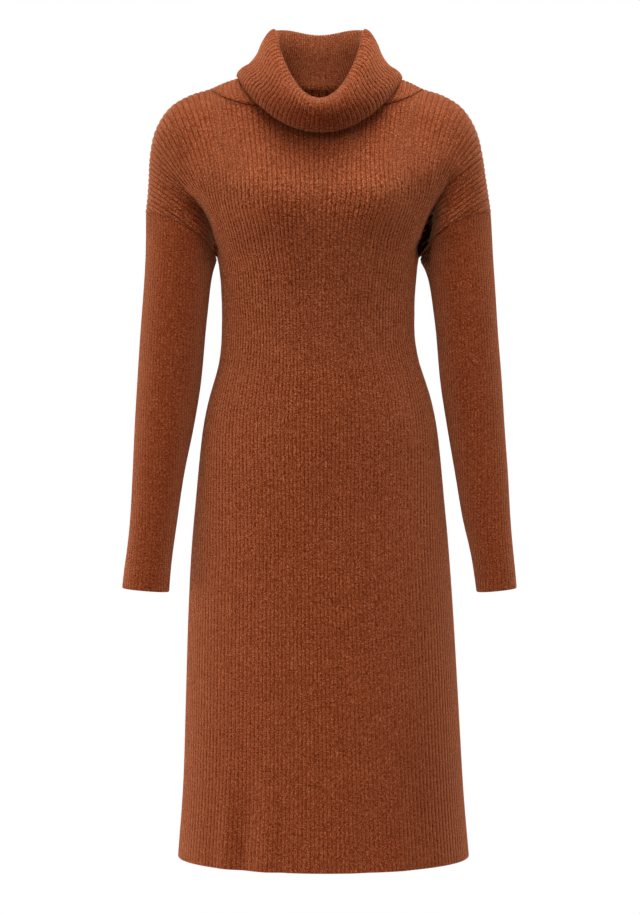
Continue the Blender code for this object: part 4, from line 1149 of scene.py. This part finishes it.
def build_piece(s, name, normals, limits, visible):
    """One piece as a closed shell: a ribbed visible side and a plainer hidden
    one, joined along every rim."""
    mine = [p for p in s.patches if p["piece"] == name]
    n_all = len(s.points)
    edge = np.full(n_all, 9.0)
    ribs = np.full(n_all, 1.0)
    seam_and_painted_shade = np.zeros(n_all)
    soft = np.zeros(n_all)
    uv_at = np.zeros((n_all, 2))
    for p in mine:
        i = p["ids"].ravel()
        np.minimum.at(edge, i, p["edge"].ravel())
        np.minimum.at(ribs, i, p["ribs"].ravel())
        np.maximum.at(seam_and_painted_shade, i, p["seam_and_painted_shade"].ravel())
        np.maximum.at(soft, i, p["soft"].ravel())
        uv_at[i] = np.stack([p["u"].ravel(), p["v"].ravel()], axis=1)
    flip = visible < 0
    fine, fine_uv, plain, plain_uv = [], [], [], []
    for p in mine:
        R, C = p["ids"].shape
        f, t = faces_of(p, list(range(R)), list(range(C)), False)
        fine += f
        fine_uv.append(t)
        f, t = faces_of(p, p["rows"], p["cols"], False)
        plain += f
        plain_uv.append(t)
    rim, rim_in = rim_of(fine), rim_of(plain)
    follow = dict(rim)
    # step back from the neighbours at the seams
    base = s.points.copy()
    centre = np.zeros((n_all, 3))
    count = np.zeros(n_all)
    fa = np.array([f + f[:1] if len(f) == 3 else f for f in fine])
    mid = s.points[fa].mean(axis=1)
    for k in range(4):
        np.add.at(centre, fa[:, k], mid)
        np.add.at(count, fa[:, k], 1)
    on_rim = np.array(sorted({a for a, _ in rim}))
    seam = on_rim[edge[on_rim] < 1.5]
    inward = centre[seam] / count[seam][:, None] - s.points[seam]
    nn = normals[seam]
    inward -= (inward * nn).sum(axis=1)[:, None] * nn
    inward /= np.maximum(np.linalg.norm(inward, axis=1), 1e-9)[:, None]
    base[seam] += inward * (0.00030 if name.startswith("sleeve") else 0.00005)
    sunk = 0.78 * (1 - soft)
    taper = np.where(edge < 1.5, 1 - sunk * (1 - ease(edge / 0.0032)),
                     0.25 + 0.75 * np.sqrt(1 - (1 - np.clip((edge - 2) / 0.0018, 0, 1)) ** 2))
    taper = np.where(edge > 8, 1.0, taper)
    out = (WALL / 2 + RIB_DEEP * (knit_profile(uv_at[:, 0]) * ribs - 0.45)) * taper
    back = (WALL / 2 + 0.45 * RIB_DEEP * (0.5 - knit_profile(uv_at[:, 0]) * ribs)) * taper
    out = np.minimum(out, np.maximum(limits[visible], 0.00015))
    back = np.minimum(back, np.maximum(limits[-visible], 0.00015))
    used = np.unique(np.array([x for f in fine for x in f]))
    used_in = np.unique(np.array([x for f in plain for x in f]))
    local = np.full(n_all, -1)
    local[used] = np.arange(len(used))
    local_in = np.full(n_all, -1)
    local_in[used_in] = len(used) + np.arange(len(used_in))
    verts = np.vstack([base[used] + visible * normals[used] * out[used][:, None],
                       base[used_in] - visible * normals[used_in] * back[used_in][:, None]])
    faces, uv = [], []
    step = -1 if flip else 1
    loc, loc_in = local.tolist(), local_in.tolist()
    for f in fine:
        faces.append([loc[x] for x in f[::step]])
    for f in plain:
        faces.append([loc_in[x] for x in f[::-step]])
    flat = np.vstack(fine_uv)
    uv.append(turned(flat, fine, step < 0))
    uv.append(turned(np.vstack(plain_uv), plain, step > 0))
    rim_uv = []
    for a, b in rim_in:
        path = [a]
        while path[-1] != b:
            path.append(follow[path[-1]])
            if len(path) > 60:
                raise ValueError(f"{name}: rims don't match")
        ring = [loc[x] for x in path[::-1]] + [loc_in[a], loc_in[b]]
        coords = [uv_at[x] for x in path[::-1]] + [uv_at[a], uv_at[b]]
        if flip:
            ring, coords = ring[::-1], coords[::-1]
        faces.append(ring)
        rim_uv += coords
    uv.append(np.array(rim_uv))
    mesh = bpy.data.meshes.new(name)
    mesh.from_pydata(verts, [], faces)
    layer = mesh.uv_layers.new(name="knit")
    layer.data.foreach_set("uv", np.vstack(uv).astype(np.float32).ravel())
    # painted shade in the armpit folds, and on the front the painted shadow under the collar's free
    # edge; with the painted light and shade of the front they go into the seam attribute beside the
    # dark seam lines, where below 0 is a painted highlight
    deep = np.where(edge < 9, armpit_painted_shade(s.points), 0.0) if name != "collar" else seam_and_painted_shade * 0.0
    tone = 0.0
    if name == "front_panel":
        deep = np.maximum(deep, 0.50 * painted_collar_shadow(s.points))
        tone = painted_front_light(s.points)
    dark = np.maximum(seam_and_painted_shade, deep * 1.45)
    for label, value in (("seam", dark + tone * (1 - np.clip(dark, 0, 1))), ("rib", ribs)):
        a = mesh.attributes.new(label, "FLOAT", "POINT")
        a.data.foreach_set("value", np.concatenate([value[used], value[used_in]]).astype(np.float32))
    mesh.shade_smooth()
    mesh.set_sharp_from_angle(angle=math.radians(75))
    mesh.update()
    ob = bpy.data.objects.new(name + "_knit", mesh)
    bpy.context.scene.collection.objects.link(ob)
    return ob, (len(fine), len(plain), len(rim_in))


def turned(flat, faces, flip):
    """Per-corner values in face order, each face turned round if flip."""
    if not flip:
        return flat
    out, i = np.empty_like(flat), 0
    sizes = np.array([len(f) for f in faces])
    start = np.concatenate([[0], np.cumsum(sizes)[:-1]])
    for n in (3, 4):
        k = start[sizes == n]
        for j in range(n):
            out[k + j] = flat[k + n - 1 - j]
    return out


def match_rims(s, normals):
    """Across a seam both pieces get the mean of their normals."""
    owner = {}
    for p in s.patches:
        ids, e = p["ids"], p["edge"]
        for i in np.unique(ids[e < 0.0003]):
            owner.setdefault(int(i), set()).add(p["piece"])
    items = list(owner.items())
    tree = kdtree.KDTree(len(items))
    for k, (i, _) in enumerate(items):
        tree.insert(s.points[i], k)
    tree.balance()
    out = normals.copy()
    for i, who in items:
        if len(who) > 1:
            continue
        best = None
        for _, k, d in tree.find_n(s.points[i], 8):
            j, other = items[k]
            if d < 0.003 and not (who & other):
                best = j
                break
        if best is not None:
            n = normals[i] + normals[best]
            out[i] = n / np.linalg.norm(n)
    return out


# --------------------------------------------------------------------------
# material
# --------------------------------------------------------------------------
class Nodes:
    """Short ways to write a node tree."""

    def __init__(self, tree):
        self.tree = tree

    def new(self, kind, **values):
        n = self.tree.nodes.new(kind)
        for k, v in values.items():
            setattr(n, k, v)
        return n

    def link(self, a, b):
        self.tree.links.new(a, b)

    def put(self, socket, value):
        if isinstance(value, bpy.types.NodeSocket):
            self.link(value, socket)
        else:
            socket.default_value = value

    def math(self, op, *args, clamp=False):
        n = self.new("ShaderNodeMath", operation=op, use_clamp=clamp)
        for k, a in enumerate(args):
            self.put(n.inputs[k], a)
        return n.outputs[0]

    def step(self, x, low, high, a=0.0, b=1.0):
        n = self.new("ShaderNodeMapRange", interpolation_type="SMOOTHSTEP")
        for k, v in enumerate((x, low, high, a, b)):
            self.put(n.inputs[k], v)
        return n.outputs[0]

    def range(self, x, low, high, a, b):
        n = self.new("ShaderNodeMapRange")
        for k, v in enumerate((x, low, high, a, b)):
            self.put(n.inputs[k], v)
        return n.outputs[0]

    def xyz(self, x, y, z=0.0):
        n = self.new("ShaderNodeCombineXYZ")
        for k, v in enumerate((x, y, z)):
            self.put(n.inputs[k], v)
        return n.outputs[0]

    def noise(self, vector, scale, detail=2.0, rough=0.5):
        n = self.new("ShaderNodeTexNoise")
        self.put(n.inputs["Vector"], vector)
        n.inputs["Scale"].default_value = scale
        n.inputs["Detail"].default_value = detail
        n.inputs["Roughness"].default_value = rough
        return n.outputs["Fac"]

    def mix(self, factor, a, b, how="MIX"):
        n = self.new("ShaderNodeMix", data_type="RGBA", blend_type=how)
        self.put(n.inputs["Factor"], factor)
        ins = [i for i in n.inputs if i.type == "RGBA"]
        self.put(ins[0], a)
        self.put(ins[1], b)
        return [o for o in n.outputs if o.type == "RGBA"][0]


def knit_material():
    mat = bpy.data.materials.new("rust_melange_rib_knit")
    mat.use_nodes = True
    t = Nodes(mat.node_tree)
    shader = mat.node_tree.nodes["Principled BSDF"]
    uv = t.new("ShaderNodeUVMap", uv_map="knit").outputs[0]
    split = t.new("ShaderNodeSeparateXYZ")
    t.link(uv, split.inputs[0])
    u, v = split.outputs[0], split.outputs[1]
    where = t.new("ShaderNodeTexCoord").outputs["Object"]
    part = t.new("ShaderNodeSeparateXYZ")
    t.link(where, part.inputs[0])
    # left and right, front and back get yarn of their own
    own = t.math("ADD", t.math("MULTIPLY", t.math("GREATER_THAN", part.outputs[0], 0.0), 157.0),
                 t.math("MULTIPLY", t.math("GREATER_THAN", part.outputs[1], 0.0), 331.0))
    # per point: how dark the seam lines are, together with the painted shade of the armpit folds and
    # the collar and the painted light and shade of the front (below 0 a painted highlight)
    seam = t.new("ShaderNodeAttribute", attribute_name="seam").outputs["Fac"]
    rib = t.new("ShaderNodeAttribute", attribute_name="rib").outputs["Fac"]
    # the yarn wanders a little
    wander = t.math("MULTIPLY", t.math("SUBTRACT", t.noise(where, 210.0, 2.0, 0.6), 0.5), 1.0)
    # a: 0 on the crest of the rib, 1 in the groove
    sway = t.math("MULTIPLY", t.math("SUBTRACT", t.noise(where, 330.0, 1.0), 0.5), 0.35)
    a = t.math("MULTIPLY", t.math("ABSOLUTE", t.math("SUBTRACT", t.math(
        "FRACT", t.math("ADD", u, sway)), 0.5)), 2.0)
    course = t.math("ADD", t.math("SUBTRACT", v, t.math("MULTIPLY", a, 0.75)), wander)
    leg = t.math("SINE", t.math("MULTIPLY", t.math("FRACT", course), math.pi))
    leg = t.math("POWER", leg, 0.6)
    crest = t.step(a, 0.0, 0.20, 0.35, 1.0)
    groove = t.step(a, 0.60, 1.0, 1.0, 0.0)
    stitch = t.math("MULTIPLY", t.math("MULTIPLY", leg, crest), groove)
    fuzz = t.noise(where, 620.0, 3.0, 0.65)
    tuft = t.noise(where, 590.0, 2.0, 0.62)
    height = t.math("ADD", t.math("MULTIPLY", stitch, 0.50),
                    t.math("ADD", t.math("MULTIPLY", fuzz, 1.3), t.math("MULTIPLY", tuft, 1.6)))
    bump = t.new("ShaderNodeBump")
    bump.inputs["Strength"].default_value = 0.80
    bump.inputs["Distance"].default_value = 0.0011
    t.link(height, bump.inputs["Height"])
    t.link(bump.outputs[0], shader.inputs["Normal"])
    # melange: stray light and dark fibres, a tone of its own for each stitch
    cell = t.xyz(t.math("ADD", own, t.math("FLOOR", t.math("MULTIPLY", u, 2.0))),
                 t.math("FLOOR", t.math("MULTIPLY", course, 1.6)))
    rnd = t.new("ShaderNodeTexWhiteNoise", noise_dimensions="2D")
    t.link(cell, rnd.inputs["Vector"])
    fleck = t.noise(where, 630.0, 2.0, 0.85)
    along = t.noise(t.xyz(t.math("ADD", own, t.math("MULTIPLY", u, 1.1)),
                          t.math("MULTIPLY", course, 0.55)), 1.0, 2.0, 0.6)
    cloud = t.noise(where, 24.0, 3.0, 0.55)
    tone = t.math("ADD", t.math("MULTIPLY", t.math("SUBTRACT", fleck, 0.5), MOTTLE[0]),
                  t.math("MULTIPLY", t.math("SUBTRACT", along, 0.5), MOTTLE[1]))
    tone = t.math("ADD", tone, t.math("MULTIPLY", t.math("SUBTRACT", rnd.outputs["Value"], 0.5),
                                      MOTTLE[2]))
    tone = t.math("ADD", tone, t.math("MULTIPLY", t.math("SUBTRACT", cloud, 0.5), MOTTLE[3]))
    tone = t.math("MULTIPLY", tone, t.range(rib, 0.3, 1.0, 0.66, 1.0))
    base = t.mix(t.step(tone, -0.90, 0.05), (0.070, 0.0070, 0.0010, 1), BASE)
    base = t.mix(t.step(tone, -0.05, 1.00), base, (0.720, 0.248, 0.108, 1))
    # painted shade in the groove between two ribs: thin, broken by the fuzz that crosses it
    cut = t.step(t.math("ADD", a, t.math("MULTIPLY", t.math("SUBTRACT", fuzz, 0.5), 1.3)),
                 0.56, 1.02)
    shade = t.math("SUBTRACT", 1.0, t.math("MULTIPLY", t.math("MULTIPLY", cut, rib), GROOVE_SHADE))
    # painted shade between the legs of the stitches, and darker overall where the ribs are weak
    stitch_gap_shade = t.math("MULTIPLY", t.math("ADD", t.math("MULTIPLY", stitch, 0.16), 0.86),
                  t.range(rib, 0.3, 0.95, 0.86, 1.0))
    # darkened by the seam lines and by the painted light and shade laid on the points
    shade = t.math("MULTIPLY", t.math("MULTIPLY", shade, stitch_gap_shade),
                   t.math("SUBTRACT", 1.0, t.math("MULTIPLY", seam, 0.62)))
    shade = t.xyz(shade, t.math("POWER", shade, 1.5), t.math("POWER", shade, 1.9))
    base = t.mix(1.0, base, shade, "MULTIPLY")
    t.link(base, shader.inputs["Base Color"])
    shader.inputs["Roughness"].default_value = 0.9
    shader.inputs["Specular IOR Level"].default_value = 0.05
    shader.inputs["Sheen Weight"].default_value = 0.95
    shader.inputs["Sheen Roughness"].default_value = 0.32
    shader.inputs["Sheen Tint"].default_value = (1.0, 0.40, 0.20, 1.0)
    return mat


BASE = (0.299, 0.0612, 0.0178, 1)
GROOVE_SHADE = 0.42                    # how dark the painted shade in the groove between two ribs is
MOTTLE = (5.1, 0.10, 0.20, 0.20)  # flecks, streaks along the yarn, stitches, clouds


# --------------------------------------------------------------------------
# studio
# --------------------------------------------------------------------------
def softbox(name, power, size, x, y, z):
    """A square white lamp that faces the middle of the dress."""
    data = bpy.data.lights.new(name, "AREA")
    data.energy, data.shape, data.size = power, "SQUARE", size
    ob = bpy.data.objects.new(name, data)
    ob.location = (x, y, z)
    ob.rotation_mode = "QUATERNION"
    ob.rotation_quaternion = (Vector((x, y, z)) - Vector((0, 0, -0.45))).to_track_quat("Z", "Y")
    ob.visible_camera = False
    bpy.context.scene.collection.objects.link(ob)


def studio():
    world = bpy.data.worlds.new("studio")
    bpy.context.scene.world = world
    world.use_nodes = True
    t = Nodes(world.node_tree)
    world.node_tree.nodes.clear()
    seen = t.new("ShaderNodeBackground")
    seen.inputs["Color"].default_value = (1, 1, 1, 1)
    seen.inputs["Strength"].default_value = 1.0
    fill = t.new("ShaderNodeBackground")
    fill.inputs["Color"].default_value = (1, 1, 1, 1)
    fill.inputs["Strength"].default_value = FILL
    mix = t.new("ShaderNodeMixShader")
    t.link(t.new("ShaderNodeLightPath").outputs["Is Camera Ray"], mix.inputs[0])
    t.link(fill.outputs[0], mix.inputs[1])
    t.link(seen.outputs[0], mix.inputs[2])
    out = t.new("ShaderNodeOutputWorld")
    t.link(mix.outputs[0], out.inputs["Surface"])
    for row in LAMPS:
        softbox(*row)
    # floor, a little below where feet would be
    mesh = bpy.data.meshes.new("floor")
    n = 128
    ring = [(1.45 * math.cos(2 * math.pi * k / n), 1.45 * math.sin(2 * math.pi * k / n), -1.41)
            for k in range(n)]
    mesh.from_pydata(ring, [], [list(range(n))])
    floor = bpy.data.objects.new("floor", mesh)
    bpy.context.scene.collection.objects.link(floor)
    mat = bpy.data.materials.new("pale_floor")
    mat.use_nodes = True
    b = mat.node_tree.nodes["Principled BSDF"]
    b.inputs["Base Color"].default_value = (0.82, 0.82, 0.81, 1)
    b.inputs["Roughness"].default_value = 0.8
    mesh.materials.append(mat)
    cam_data = bpy.data.cameras.new("camera")
    cam_data.sensor_fit = "VERTICAL"
    cam_data.sensor_height = 36.0
    cam_data.lens = 91.12
    cam_data.clip_start, cam_data.clip_end = 0.1, 50.0
    cam = bpy.data.objects.new("camera", cam_data)
    cam.location = (0.0007, -3.1, -0.494)
    cam.rotation_euler = (math.radians(90), 0, 0)
    bpy.context.scene.collection.objects.link(cam)
    bpy.context.scene.camera = cam
    bpy.context.scene.view_settings.view_transform = "Standard"
    bpy.context.scene.view_settings.look = "None"


FILL = 0.02
# power, size and place of the lamps
LAMPS = [
    ("top", 36.0, 1.2, 0.0, -0.1, 1.6),
    ("top_front", 15.5, 1.2, 0.0, -1.5, 1.4),
    ("front_left", 14.0, 1.2, -1.6, -1.6, 0.7),
    ("front_right", 2.5, 1.2, 1.6, -1.6, 0.7),
    ("front_low", 9.2, 1.2, 0.0, -2.4, -1.0),
    ("right_low", 6.5, 1.2, 1.6, -1.6, -0.6),
    ("side_left", 17.5, 1.2, -1.7, -0.1, -0.7),
    ("side_right", 8.0, 1.2, 1.7, -0.2, 1.1),
    ("behind_left", 35.0, 1.2, -1.35, 1.55, -0.35),
    ("behind_right", 37.0, 1.2, 1.35, 1.55, -0.35),
]


def main():
    cloth = build_cloth()
    quads = np.vstack([cells(p["ids"], p["sign"]) for p in cloth.patches])
    normals = mesh_normals(cloth.points, quads)
    for face in ("front", "back"):
        ids = np.unique(np.concatenate([p["ids"].ravel() for p in cloth.patches
                                        if p["piece"] == face + "_panel"]))
        at = cloth.points[ids]
        high = creased(at, face) + (relief(at) if face == "front" else 0.0)
        cloth.points[ids] += normals[ids] * high[:, None]
    normals = mesh_normals(cloth.points, quads)
    normals = soften(normals, quads, 3)
    normals = match_rims(cloth, normals)
    limits = bend_limits(cloth.points, normals, quads)
    mat = knit_material()
    for name in ("front_panel", "back_panel", "sleeve_left", "sleeve_right", "collar"):
        piece, counts = build_piece(cloth, name, normals, limits, -1 if name == "collar" else 1)
        piece.data.materials.append(mat)
        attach(piece, "root")
        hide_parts(name)
    studio()


main()
